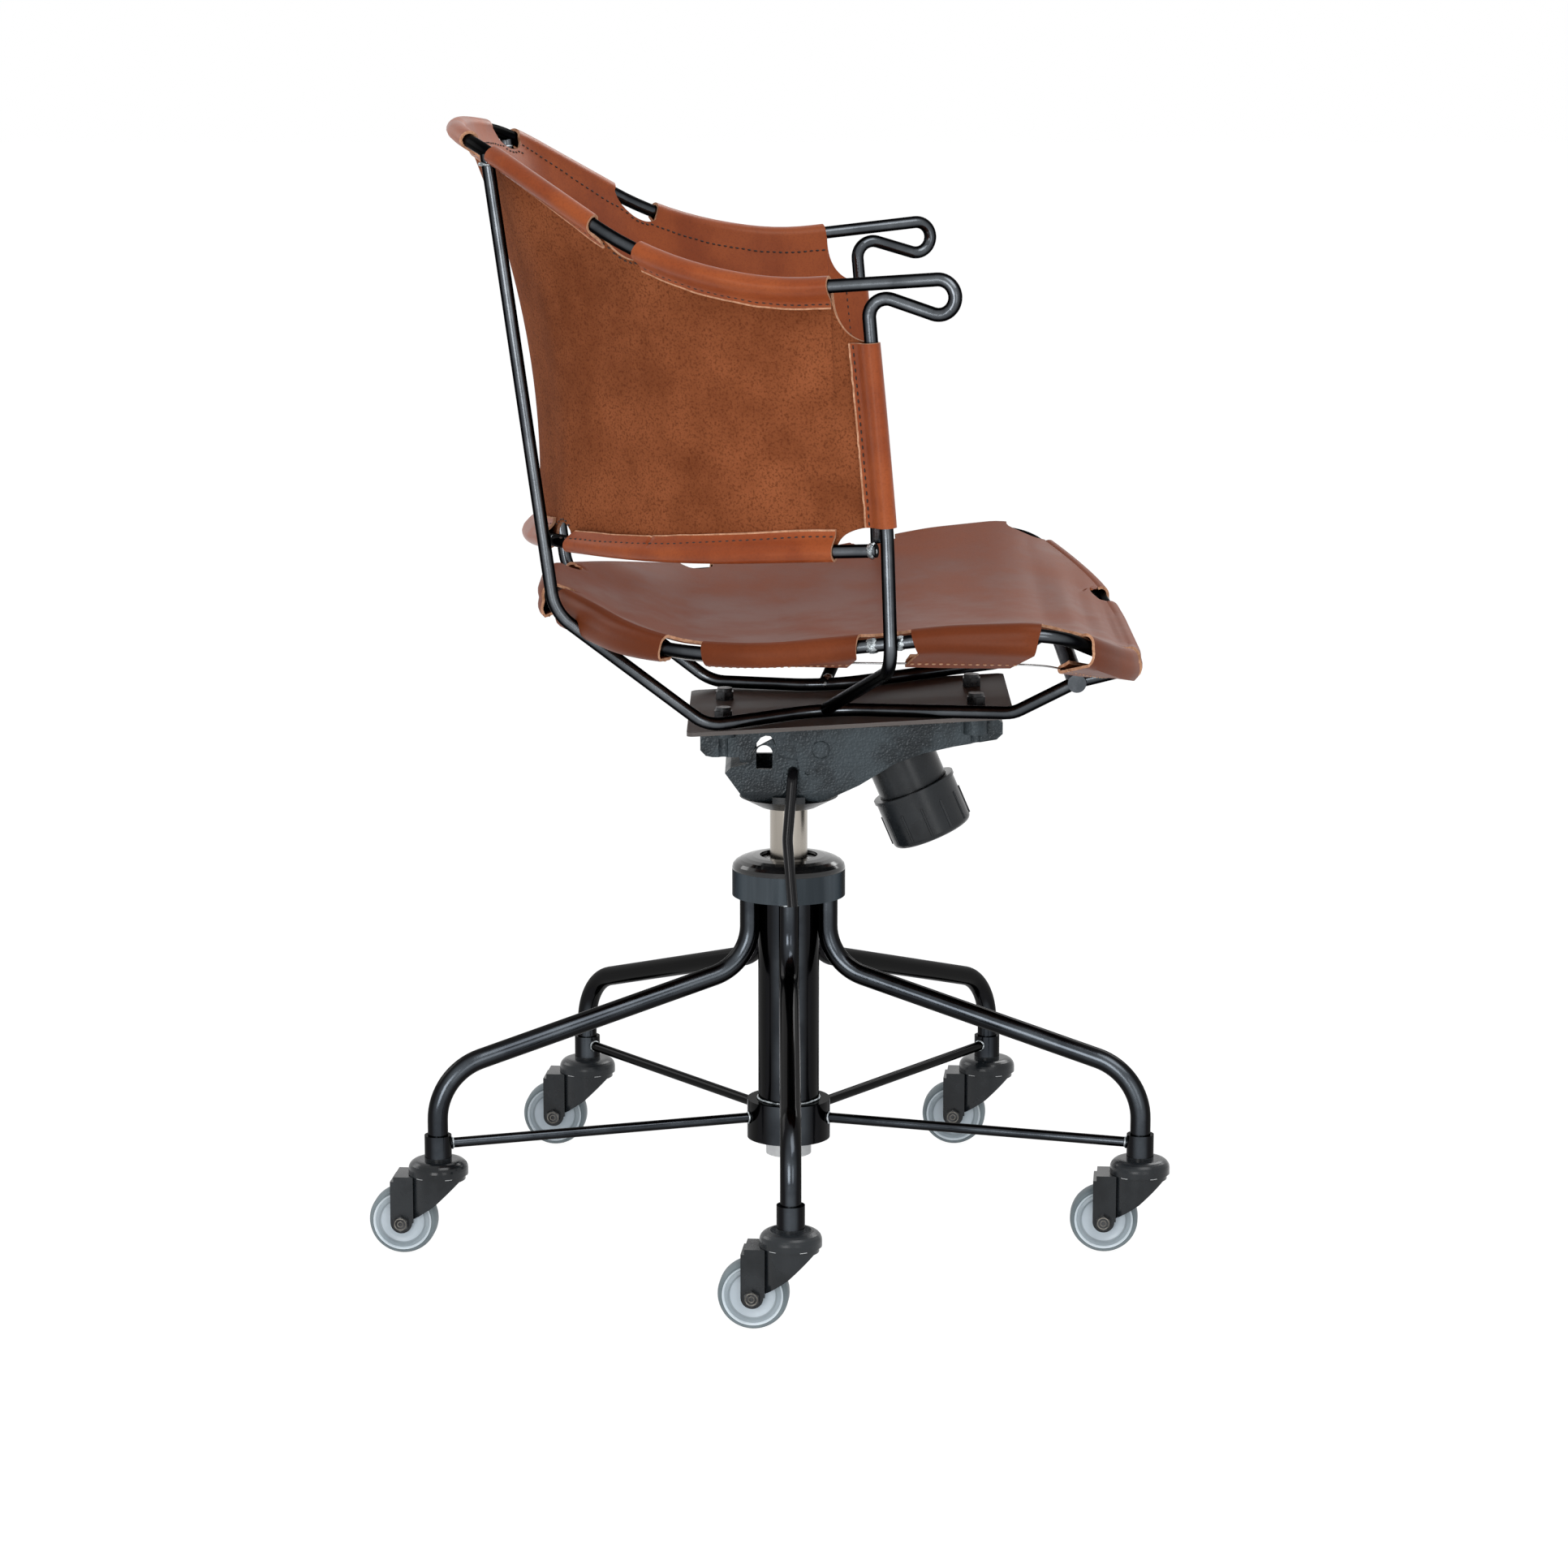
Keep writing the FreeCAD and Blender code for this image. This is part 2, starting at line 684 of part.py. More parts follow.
def caster_hub():
    """Wheel hub with a dished face, a raised ring and a boss, bored for the axle."""
    centre = Vector(0, caster_trail, wheel_r)
    bore = wheel_axle_r + pin_gap
    web = wheel_ring(hub_r - hub_rim / 2, bore, hub_width / 2 - hub_dish, centre)
    rim = wheel_ring(hub_r, hub_r - hub_rim, hub_width / 2, centre)
    ring = wheel_ring(hub_ring_r, hub_ring_r - hub_ring_w, hub_width / 2 - hub_dish / 2, centre)
    boss = wheel_ring(hub_boss_r, bore, fork_cheek_gap / 2 - soft_gap, centre)
    return joined([web, rim, ring, boss])


def caster_tyre():
    """Rounded tread on the hub."""
    centre = Vector(0, caster_trail, wheel_r)
    half = wheel_width / 2
    shoulder = wheel_r - tyre_edge_r
    flat = half - tyre_edge_r
    tyre = wheel_ring(wheel_r, hub_r + weld_gap, flat, centre)
    edge = wheel_ring(shoulder, hub_r + weld_gap, half, centre)
    rounds = []
    for direction in (-1, 1):
        rounds.append(Part.makeTorus(shoulder, tyre_edge_r, centre + side_axis * flat * direction, side_axis))
    bead = wheel_ring(bead_r + bead_w / 2, bead_r - bead_w / 2, half + bead_w / 3, centre)
    return joined([tyre, edge, bead] + rounds)


def caster_nodes():
    """Five casters, each with a stem, fork, axle, hub and tyre."""
    nodes = {}
    parts = {
        "caster_stem": caster_stem(),
        "caster_fork": caster_fork(),
        "wheel_axle": caster_axle(),
        "wheel_hub": caster_hub(),
        "wheel_tyre": caster_tyre(),
    }
    for i in range(leg_count):
        place = polar(base_radius, leg_turn_deg + i * 360 / leg_count, 0)
        for name, shape in parts.items():
            copy = shape.copy()
            copy.rotate(Vector(0, 0, 0), up_axis, caster_yaw_deg)
            copy.translate(place)
            nodes["%s_%d" % (name, i + 1)] = copy
    return nodes


def share_outline(shares, rear, length, low, height):
    """Side outline from shares of a length and a height."""
    return [(x * length - rear, low + z * height) for x, z in shares]


def tilt_housing():
    """Bowl of the tilt mechanism with its ears and holes."""
    outline = share_outline(housing_shares, housing_rear, housing_len, housing_z, housing_h)
    body = side_prism(outline, housing_half_w)
    rear_point = -housing_rear - overrun
    front_point = housing_len - housing_rear + overrun
    top_z = housing_z + housing_h + overrun
    trough = block((-housing_half_w, housing_half_w), (rear_point, front_point), (housing_z, top_z))
    edges = [edge for edge in trough.Edges
             if edge.BoundBox.ZMax < housing_z + weld_gap and edge.BoundBox.XLength < weld_gap]
    body = body.common(trough.makeFillet(housing_round_r, edges))
    inner = [at(-overrun, forward, up) for forward, up in outline]
    face = Part.Face(Part.makePolygon(inner + inner[:1]))
    hollow = face.makeOffset2D(-housing_wall)
    inner_half = housing_half_w - housing_wall
    room = hollow.extrude(Vector(2 * overrun, 0, 0))
    room = room.common(block((-inner_half, inner_half), (rear_point, front_point), (0, top_z)))
    lid_z = housing_z + housing_h * lid_rise_share
    lid_front = housing_len * lid_front_share - housing_rear
    room = room.fuse(block(
        (-inner_half, inner_half), (2 * housing_wall - housing_rear, lid_front), (lid_z, top_z)))
    socket = Part.makeCylinder(socket_r, socket_h, Vector(0, 0, housing_z))
    body = joined([body.cut(room), socket])
    hole = Part.makeCylinder(gas_tube_r + pin_gap, overrun, Vector(0, 0, housing_z - housing_wall))
    pin = Part.makeCylinder(
        pivot_r + pin_gap, 2 * overrun, at(-overrun, pivot_forward, pivot_z), side_axis)
    shaft = Part.makeCylinder(
        lever_r + pin_gap, overrun, at(-overrun - housing_wall * 3, lever_forward, lever_z), side_axis)
    screw = Part.makeCylinder(
        screw_r + weld_gap, overrun, at(-overrun - housing_wall * 3, screw_forward, lever_z), side_axis)
    ear_z = housing_z + ear_hole_rise
    ear = block(
        (-overrun, overrun),
        (ear_hole_forward - ear_hole_w / 2, ear_hole_forward + ear_hole_w / 2),
        (ear_z - ear_hole_h / 2, ear_z + ear_hole_crown))
    ear_round = Part.makeCylinder(
        ear_hole_w / 2, 2 * overrun, at(-overrun, ear_hole_forward, ear_z + ear_hole_crown), side_axis)
    return largest(body.cut([hole, pin, shaft, screw, ear, ear_round]))


def knob_axis():
    """Start point and downward direction of the tension knob's axis."""
    tilt = math.radians(knob_tilt_deg)
    direction = Vector(0, -math.sin(tilt), -math.cos(tilt))
    return at(0, knob_forward, housing_z + knob_rise), direction


def spring_cup():
    """Round cup of the tilt spring, seated against the housing's sloping underside."""
    origin, direction = knob_axis()
    top = origin - direction * cup_hidden
    length = cup_hidden + cup_show
    cup = Part.makeCylinder(cup_r, length, top, direction)
    cup = cup.cut(Part.makeCylinder(cup_r - cup_wall, length - cup_wall, top, direction))
    hole = Part.makeCylinder(knob_bolt_r + pin_gap, 2 * length, top, direction)
    return cup.cut([hole, housing_slab()])


def housing_slab():
    """Space of the housing's front underside and all above it, a weld gap larger."""
    outline = share_outline(housing_shares, housing_rear, housing_len, housing_z, housing_h)
    low, high = outline[4], outline[6]
    slope = (high[1] - low[1]) / (high[0] - low[0])
    drop = weld_gap / math.cos(math.atan(slope))
    rear_z = low[1] - drop - overrun * slope
    front_z = low[1] - drop + 2 * overrun * slope
    rear, front = low[0] - overrun, low[0] + 2 * overrun
    top = front_z + overrun
    return side_prism([(rear, rear_z), (front, front_z), (front, top), (rear, top)], overrun)


def tilt_spring():
    """Coil spring round the knob's bolt, inside its cup."""
    origin, direction = knob_axis()
    edges = []
    half_turns = 2 * spring_turns
    points = []
    for i in range(4 * spring_turns + 1):
        angle = i * math.pi / 2
        rise = i * spring_pitch / 4
        points.append(Vector(spring_r * math.cos(angle), spring_r * math.sin(angle), rise))
    for i in range(half_turns):
        edges.append(Part.Arc(points[2 * i], points[2 * i + 1], points[2 * i + 2]).toShape())
    path = Part.Wire(edges)
    heading = Vector(0, spring_r * 2 * math.pi, spring_pitch)
    ring = Part.Wire(Part.Circle(points[0], heading, spring_wire_r).toShape())
    coil = path.makePipeShell([ring], True, False)
    base = origin + direction * (cup_show - cup_wall - spring_wire_r - soft_gap)
    coil.Placement = FreeCAD.Placement(base, FreeCAD.Rotation(up_axis, direction * -1))
    return coil


def tension_knob():
    """Ribbed knob with its bolt, turning about the tilted axis."""
    origin, direction = knob_axis()
    height = knob_h - knob_edge_r
    outer = Part.makeCylinder(knob_r, height)
    lip = Part.makeCylinder(knob_lip_r, knob_lip_h)
    bottom = Part.makeCylinder(knob_r - knob_edge_r, knob_h)
    edge = Part.makeTorus(knob_r - knob_edge_r, knob_edge_r, Vector(0, 0, height))
    body = joined([outer, lip, bottom, edge])
    neck_room = Part.makeCylinder(cup_r + soft_gap, knob_recess + overrun, Vector(0, 0, -overrun))
    room = Part.makeCylinder(knob_r - knob_wall - knob_edge_r, knob_h - 2 * knob_wall)
    body = body.cut([neck_room, room])
    rib_h = knob_h * knob_rib_share
    ribs = []
    for i in range(knob_rib_count):
        angle = math.radians(i * 360 / knob_rib_count)
        foot = Vector(knob_r * math.cos(angle), knob_r * math.sin(angle), height - rib_h)
        ribs.append(Part.makeCylinder(knob_rib_r, rib_h, foot))
    bolt = Part.makeCylinder(knob_bolt_r, knob_h - knob_wall + cup_show + cup_wall)
    bolt.translate(Vector(0, 0, -cup_show - cup_wall))
    knob = joined([body, bolt] + ribs)
    base = origin + direction * (cup_show + soft_gap)
    knob.Placement = FreeCAD.Placement(base, FreeCAD.Rotation(up_axis, direction))
    return knob


def lift_lever():
    """Bent lever rod with its shaft in the housing's near wall."""
    reach = lever_reach
    points = [
        at(housing_wall * 2 - housing_half_w, lever_forward, lever_z),
        at(-lever_side, lever_forward, lever_z),
        at(-(lever_side + reach) / 2, lever_forward - lever_r, lever_z - lever_drop / 2),
        at(-reach, lever_forward, lever_z - lever_drop),
    ]
    return rod_along(points, [0, lever_bend_r, lever_drop / 2, 0], lever_r)


def mechanism_nodes():
    """Everything that rides up and down on the lift, apart from the seat."""
    nodes = {}
    nodes["tilt_housing"] = tilt_housing()
    cap_z = housing_z - weld_gap - cap_bowl_h
    bowl = Part.makeCone(cap_bowl_foot_r, cap_bowl_r, cap_bowl_h, Vector(0, 0, cap_z))
    rim_z = housing_z - weld_gap
    rim = bored(cap_bowl_r, cap_bowl_r - cap_wall, cap_bowl_depth, Vector(0, 0, rim_z - weld_gap))
    corner = housing_half_w + weld_gap
    keep = block((-corner, corner), (-overrun, overrun), (rim_z, housing_z + housing_h))
    hole = Part.makeCylinder(gas_tube_r + pin_gap, 2 * overrun, Vector(0, 0, cap_z - overrun))
    nodes["housing_cap"] = largest(joined([bowl, rim.cut(keep)]).cut(hole))
    pin_half = bracket_half_w
    nodes["pivot_pin"] = Part.makeCylinder(
        pivot_r, 2 * pin_half, at(-pin_half, pivot_forward, pivot_z), side_axis)
    face_side = -housing_half_w - weld_gap
    head = Part.makeCylinder(
        screw_head_r, screw_head_h, at(face_side - screw_head_h, screw_forward, lever_z), side_axis)
    shank = Part.makeCylinder(
        screw_r, screw_len, at(face_side - weld_gap, screw_forward, lever_z), side_axis)
    socket = hexagon(
        2 * screw_socket_r, screw_head_h, at(face_side - screw_head_h, screw_forward, lever_z), side_axis)
    nodes["lever_bush"] = joined([head, shank]).cut(socket)
    nodes["spring_cup"] = largest(spring_cup())
    nodes["tilt_spring"] = tilt_spring()
    nodes["tension_knob"] = tension_knob()
    nodes["lift_lever"] = lift_lever()
    return nodes


def bolt_places():
    """Forward and side places of the plate's four bolts."""
    places = []
    for forward in (bolt_rear_forward, bolt_front_forward):
        for side in (-bolt_side, bolt_side):
            places.append((side, forward))
    return places


def tilt_bracket():
    """Cast bracket that swings on the pivot pin and carries the seat plate."""
    low = pivot_z - bracket_drop + bracket_h * bracket_low_share
    shares = bracket_low_shares + bracket_high_shares
    outline = share_outline(shares, bracket_rear, bracket_len, low, bracket_h)
    solid = side_prism(outline, bracket_half_w)
    inner_half = bracket_half_w - bracket_wall
    rear = -bracket_rear
    front = bracket_len - bracket_rear
    roof_rear = rear + bracket_len * roof_rear_share
    roof_front = rear + bracket_len * roof_front_share
    top = low + bracket_h * 2
    rear_roof_z = low + bracket_h * rear_roof_rise_share
    front_roof_z = low + bracket_h * front_roof_rise_share
    rooms = [
        block((-inner_half, inner_half), (rear + bracket_end_wall, roof_rear + overrun / 2),
              (low - overrun, rear_roof_z)),
        block((-inner_half, inner_half), (roof_rear, roof_front), (low - overrun, top)),
        block((-inner_half, inner_half), (roof_front - overrun / 2, front - bracket_end_wall),
              (low - overrun, front_roof_z)),
    ]
    lands = []
    for side, forward in bolt_places():
        foot_z = rear_roof_z if forward < 0 else front_roof_z
        lands.append(Part.makeCylinder(land_r, overrun, at(side, forward, foot_z)))
    plate_under = plate_side_block(-weld_gap - plate_t, overrun * 2)
    body = joined([solid.cut(rooms)] + lands).cut(plate_under)
    holes = [Part.makeCylinder(bolt_r + weld_gap, 2 * overrun, at(side, forward, low - overrun))
             for side, forward in bolt_places()]
    pin = Part.makeCylinder(
        pivot_r + pin_gap, 2 * overrun, at(-overrun, pivot_forward, pivot_z), side_axis)
    return largest(body.cut(holes + [pin]))


def plate_side_block(bottom, thickness):
    """Sloping slab with its underside at a height over the plate's upper face."""
    rear = -plate_rear
    front = plate_len - plate_rear
    outline = [
        (rear - overrun, plate_top(rear - overrun) + bottom),
        (front + overrun, plate_top(front + overrun) + bottom),
        (front + overrun, plate_top(front + overrun) + bottom + thickness),
        (rear - overrun, plate_top(rear - overrun) + bottom + thickness),
    ]
    return side_prism(outline, plate_half_w)


def seat_plate():
    """Flat plate under the rails, with rounded corners and four holes."""
    rear = -plate_rear
    front = plate_len - plate_rear
    top = plate_z + overrun
    keep = block((-plate_half_w, plate_half_w), (rear, front), (plate_z - overrun, top))
    edges = [edge for edge in keep.Edges
             if abs(edge.tangentAt(edge.FirstParameter).z) > upright_cosine]
    keep = keep.makeFillet(plate_corner_r, edges)
    plate = plate_side_block(-plate_t, plate_t).common(keep)
    holes = [Part.makeCylinder(bolt_r + weld_gap, 2 * overrun, at(side, forward, plate_z - overrun))
             for side, forward in bolt_places()]
    return plate.cut(holes)


def plate_bolts():
    """Four bolts with lock nuts on the plate."""
    nut_rise = weld_gap + bolt_nut_flats * plate_slope / 2 + slide_gap
    bolts = []
    for side, forward in bolt_places():
        foot = at(side, forward, plate_top(forward) + nut_rise)
        bolts.append(joined([
            hexagon(bolt_nut_flats, bolt_nut_h, foot, up_axis),
            Part.makeCylinder(bolt_collar_r, bolt_nut_h + bolt_collar_h, foot),
            Part.makeCylinder(bolt_r, bolt_grip + bolt_nut_h, foot - up_axis * bolt_grip),
        ]))
    return Part.makeCompound(bolts)


def turn_corners(centre, radius, heading_deg, turn_deg, count):
    """Corner points round a turn in a vertical plane, as reach and height pairs.

    A positive turn goes round clockwise as seen with the reach to the right.
    """
    step = turn_deg / count
    side = 1 if turn_deg > 0 else -1
    corners = []
    for i in range(count):
        heading = math.radians(heading_deg - (i + 0.5) * step)
        distance = radius / math.cos(math.radians(abs(step) / 2))
        corners.append((
            centre[0] - side * distance * math.sin(heading),
            centre[1] + side * distance * math.cos(heading)))
    return corners


def arm_plane_point(reach, up):
    """Point of the arm rod's front run from its reach past the last bow and its height."""
    start = frame_point(arm_start_shares)
    heading = math.radians(arm_heading_deg)
    return Vector(
        start.x + reach * math.sin(heading), start.y - reach * math.cos(heading), up)


def arm_rod_path():
    """Half of the arm and back rod, from the middle of the back to its foot on the rail."""
    points, radii = frame_path(back_rod_shares)
    start = frame_point(arm_start_shares)
    points.append(start)
    radii.append(arm_bow_r)
    slope = math.radians(arm_slope_deg)
    crest_z = start.z + (loop_reach - loop_r * math.sin(slope)) * math.tan(slope)
    loop_centre = (loop_reach, crest_z - loop_r * math.cos(slope))
    hump_centre = (hump_reach, loop_centre[1] - hump_drop)
    loop = turn_corners(loop_centre, loop_r, arm_slope_deg, loop_turn_deg, loop_corner_count)
    after_loop = arm_slope_deg - loop_turn_deg
    hump = turn_corners(hump_centre, hump_r, after_loop, -hump_turn_deg, hump_corner_count)
    for corners, radius in ((loop, loop_r), (hump, hump_r)):
        for reach, up in corners:
            points.append(arm_plane_point(reach, up))
            radii.append(radius)
    for shares in (upright_top_shares, upright_foot_shares):
        points.append(frame_point(shares))
        radii.append(shares[3] * frame_reach)
    points.append(at(foot_side, foot_forward, plate_top(foot_forward) + rod_r))
    radii.append(0)
    return points, radii


def rail_path():
    """Side rail, from the top of the back down, along the plate and up to the seat ring."""
    points = [
        frame_point(rail_top_shares), frame_point(rail_rear_shares), frame_point(rail_low_shares)]
    radii = [0, rail_rear_shares[3] * frame_reach, rail_low_shares[3] * frame_reach]
    for side, forward, radius in (rail_mid_shares, rail_turn_shares):
        reach = forward * frame_reach
        points.append(at(side * frame_half_w, reach, plate_top(reach) + rod_r + weld_gap))
        radii.append(radius * frame_reach)
    points += [frame_point(rail_front_shares), frame_point(rail_end_shares)]
    radii += [rail_front_shares[3] * frame_reach, 0]
    return points, radii


def part_path(points, radii, start, end):
    """Some of the points of a path, with its radii."""
    return points[start:end], radii[start:end]


def rod_frame_nodes():
    """Rails, arm and back rod, lower back rod, seat ring, cross bar and hem wire."""
    nodes = {}
    fat = rod_r + weld_gap
    arm_points, arm_radii = arm_rod_path()
    rail_points, rail_radii = rail_path()
    low_points, low_radii = frame_path(low_rod_shares)
    ring_points, ring_radii = frame_path(seat_ring_shares)

    rail = rod_along(rail_points, rail_radii, rod_r)
    back_fat = rod_along(*part_path(arm_points, arm_radii, 0, 5), fat)
    ring_front_fat = rod_along(*part_path(ring_points, ring_radii, 4, 8), fat)
    low_fat = rod_along(*part_path(low_points, low_radii, 0, 3), fat)
    ring_rear_fat = rod_along(*part_path(ring_points, ring_radii, 0, 3), fat)
    rail = largest(rail.cut([back_fat, ring_front_fat, low_fat, ring_rear_fat]))
    nodes["side_rail_left"] = rail
    nodes["side_rail_right"] = mirrored(rail)

    arm = rod_along(arm_points, arm_radii, rod_r)
    rail_fat = rod_along(*part_path(rail_points, rail_radii, 2, 5), fat)
    arm = largest(arm.cut(rail_fat))
    nodes["arm_and_back_rod"] = both_halves(arm)

    low = rod_along(low_points, low_radii, rod_r)
    upright = straight_rod(arm_points[-3], arm_points[-2], fat)
    nodes["lower_back_rod"] = both_halves(largest(low.cut(upright)))

    ring = rod_along(ring_points, ring_radii, rod_r)
    nodes["seat_ring"] = both_halves(ring)

    corner = rail_points[5]
    half = corner.x + cross_bar_end
    bar = straight_rod(Vector(-half, corner.y, corner.z), Vector(half, corner.y, corner.z), cross_bar_r)
    side_fat = rod_along(rail_points[4:], [0] + rail_radii[5:], fat)
    bar = bar.cut([side_fat, mirrored(side_fat)])
    nodes["front_cross_bar"] = largest(bar)

    hem_points, hem_radii = frame_path(hem_shares)
    nodes["hem_wire"] = both_halves(rod_along(hem_points, hem_radii, hem_wire_r))
    return nodes


def run_point(start, end, forward):
    """Point of a straight run at a forward distance."""
    share = (-forward - start.y) / (end.y - start.y)
    return start + (end - start) * share


def height_point(start, end, up):
    """Point of a straight run at a height."""
    return start + (end - start) * ((up - start.z) / (end.z - start.z))


def outward(before, after):
    """Level direction away from the sitter beside a run on the right half."""
    run = after - before
    return Vector(-run.y, run.x, 0).normalize()


def path_stations(points, radii, count):
    """Points spaced along a bent path, each with its outward direction."""
    places = bent_wire(points, radii).discretize(Number=count)
    stations = []
    for i, place in enumerate(places):
        before = places[max(i - 1, 0)]
        after = places[min(i + 1, count - 1)]
        stations.append((place, outward(before, after)))
    stations[0] = (places[0], Vector(0, 1, 0))
    return stations


def ribbon(sections):
    """Solid strip through sections of four corners."""
    wires = [Part.makePolygon(list(corners) + [corners[0]]) for corners in sections]
    return Part.makeLoft(wires, True, True)


def flap_section(place, direction, drop):
    """Section of a stitched flap, from the outside of a roll across to the leather behind it."""
    return (
        place + direction * (roll_bore_r + seam_lap),
        place + direction * (roll_r - seam_lap),
        place - direction * (roll_bore_r - leather_t) + drop,
        place - direction * (roll_bore_r + 3 * seam_lap) + drop,
    )


def panel_section(top, top_out, low, low_out, bulge):
    """Section of the leather between two rods, along their inner sides, bulged to the sitter."""
    corners = []
    for offset in (roll_r - seam_lap, roll_bore_r + seam_lap):
        high_end = top - top_out * offset
        low_end = low - low_out * offset
        middle = (high_end + low_end) / 2 - (top_out + low_out) / 2 * bulge
        corners.append((high_end, middle, low_end))
    far, near = corners
    return Part.Wire([
        Part.Arc(*far).toShape(),
        Part.LineSegment(far[2], near[2]).toShape(),
        Part.Arc(near[2], near[1], near[0]).toShape(),
        Part.LineSegment(near[0], far[0]).toShape(),
    ])


def gap_prism(points, start, end, depth, rise):
    """Cutter with a side outline that follows a run of the rod between two forward distances."""
    first = run_point(points[0], points[1], start)
    last = run_point(points[0], points[1], end)
    outline = [
        (start, first.z - depth), (end, last.z - depth), (end, last.z + rise), (start, first.z + rise)]
    return side_prism(outline, frame_half_w * 2)


def back_leather():
    """One piece of leather round the back and both arms, rolled over the rods."""
    arm_points, arm_radii = arm_rod_path()
    low_points, low_radii = frame_path(low_rod_shares)
    rail_points, _ = rail_path()
    top_end = run_point(arm_points[4], arm_points[5], top_roll_end_share * frame_reach)
    low_end = run_point(low_points[3], low_points[4], low_roll_end_share * frame_reach)
    top_points = arm_points[:5] + [top_end]
    top_radii = arm_radii[:5] + [0]
    side_points = low_points[:4] + [low_end]
    side_radii = low_radii[:4] + [0]
    hump, foot = arm_points[-4], arm_points[-3]
    upright = [height_point(hump, foot, plate_z + share * frame_rise) for share in upright_roll_shares]
    front = outward(arm_points[4], arm_points[5])

    tops = path_stations(top_points, top_radii, back_station_count)
    lows = path_stations(side_points, side_radii, back_station_count)
    tops.append((upright[1], front))
    lows.append((upright[0], front))
    sections = []
    for i, (top, low) in enumerate(zip(tops, lows)):
        bulge = panel_bulge * shares_between(bulge_shares, i / back_station_count)
        sections.append(panel_section(*top, *low, bulge))
    panel = Part.makeLoft(sections, True, True)
    drop = up_axis * flap_len
    top_flap = ribbon([flap_section(place, out, drop * -1) for place, out in tops[:-1]])
    low_flap = ribbon([flap_section(place, out, drop) for place, out in lows[:-1]])
    backward = Vector(-front.y, front.x, 0) * flap_len
    front_flap = ribbon([flap_section(place, front, backward) for place in upright])
    top_roll = rod_along(top_points, top_radii, roll_r)
    low_roll = rod_along(side_points, side_radii, roll_r)
    front_roll = straight_rod(upright[0], upright[1], roll_r)

    run, end_run = arm_points[2:4]
    gap_start, gap_end = [share * frame_reach for share in arm_gap_shares]
    gaps = [gap_prism((run, end_run), gap_start, gap_end, notch_depth, overrun)]
    top_tall = (arm_points[2].z - notch_depth, arm_points[1].z + overrun)
    low_tall = (low_points[1].z - overrun, low_points[1].z + notch_depth)
    for shares, tall in ((top_gap_side_shares, top_tall), (low_gap_side_shares, low_tall)):
        wide = [share * frame_half_w for share in shares]
        gaps.append(block(wide, (-frame_reach, -frame_reach / 2), tall))
    sheet = grown(panel, [top_roll, low_roll, front_roll, top_flap, low_flap, front_flap])
    top_bore = top_points[:-1] + [longer(top_points[-2], top_end, flap_len)]
    side_bore = side_points[:-1] + [longer(side_points[-2], low_end, flap_len)]
    bores = [
        rod_along(top_bore, top_radii, roll_bore_r),
        rod_along(side_bore, side_radii, roll_bore_r),
        straight_rod(
            longer(upright[1], upright[0], flap_len), longer(upright[0], upright[1], leather_t),
            roll_bore_r),
        straight_rod(rail_points[0], rail_points[1], roll_bore_r),
    ]
    return both_halves(largest(worn_away(sheet, bores + gaps)))


def shares_between(table, share):
    """Second column of a table of shares, between the rows on both sides of a first share."""
    for (x0, y0), (x1, y1) in zip(table, table[1:]):
        if share <= x1:
            return y0 + (y1 - y0) * max(0.0, share - x0) / (x1 - x0)
    return table[-1][1]


def sling_section(place):
    """Section of the sagging seat leather between both sides of the ring."""
    edge_z = place.z + roll_r - sling_set
    sag = seat_sag * shares_between(sag_shares, -place.y / frame_reach) + leather_t
    left = Vector(-place.x, place.y, edge_z)
    right = Vector(place.x, place.y, edge_z)
    middle = Vector(0, place.y, edge_z - sag)
    thick = up_axis * leather_t
    return Part.Wire([
        Part.Arc(left, middle, right).toShape(),
        Part.LineSegment(right, right - thick).toShape(),
        Part.Arc(right - thick, middle - thick, left - thick).toShape(),
        Part.LineSegment(left - thick, left).toShape(),
    ])


def seat_gaps(stations, depth):
    """Cutters for the open stretches of the seat's edge, as deep as given."""
    cutters = []
    tall = (plate_z - overrun, plate_z + frame_rise)
    for start, end in seat_side_gap_shares:
        middle = (start + end) / 2 * frame_reach
        side = min(stations, key=lambda place: abs(place.y + middle) - place.x / frame_half_w).x
        wide = (side - depth, side + overrun)
        cutters.append(block(wide, (start * frame_reach, end * frame_reach), tall))
    for shares, sign in ((seat_front_gap_shares, 1), (seat_rear_gap_shares, -1)):
        inner, outer = [share * frame_half_w for share in shares]
        middle = (inner + outer) / 2
        ahead = [place for place in stations if -place.y * sign > 0]
        edge = -min(ahead, key=lambda place: abs(place.x - middle)).y
        reach = sorted((edge - sign * depth, edge + sign * overrun))
        cutters.append(block((inner, outer), reach, tall))
    return cutters


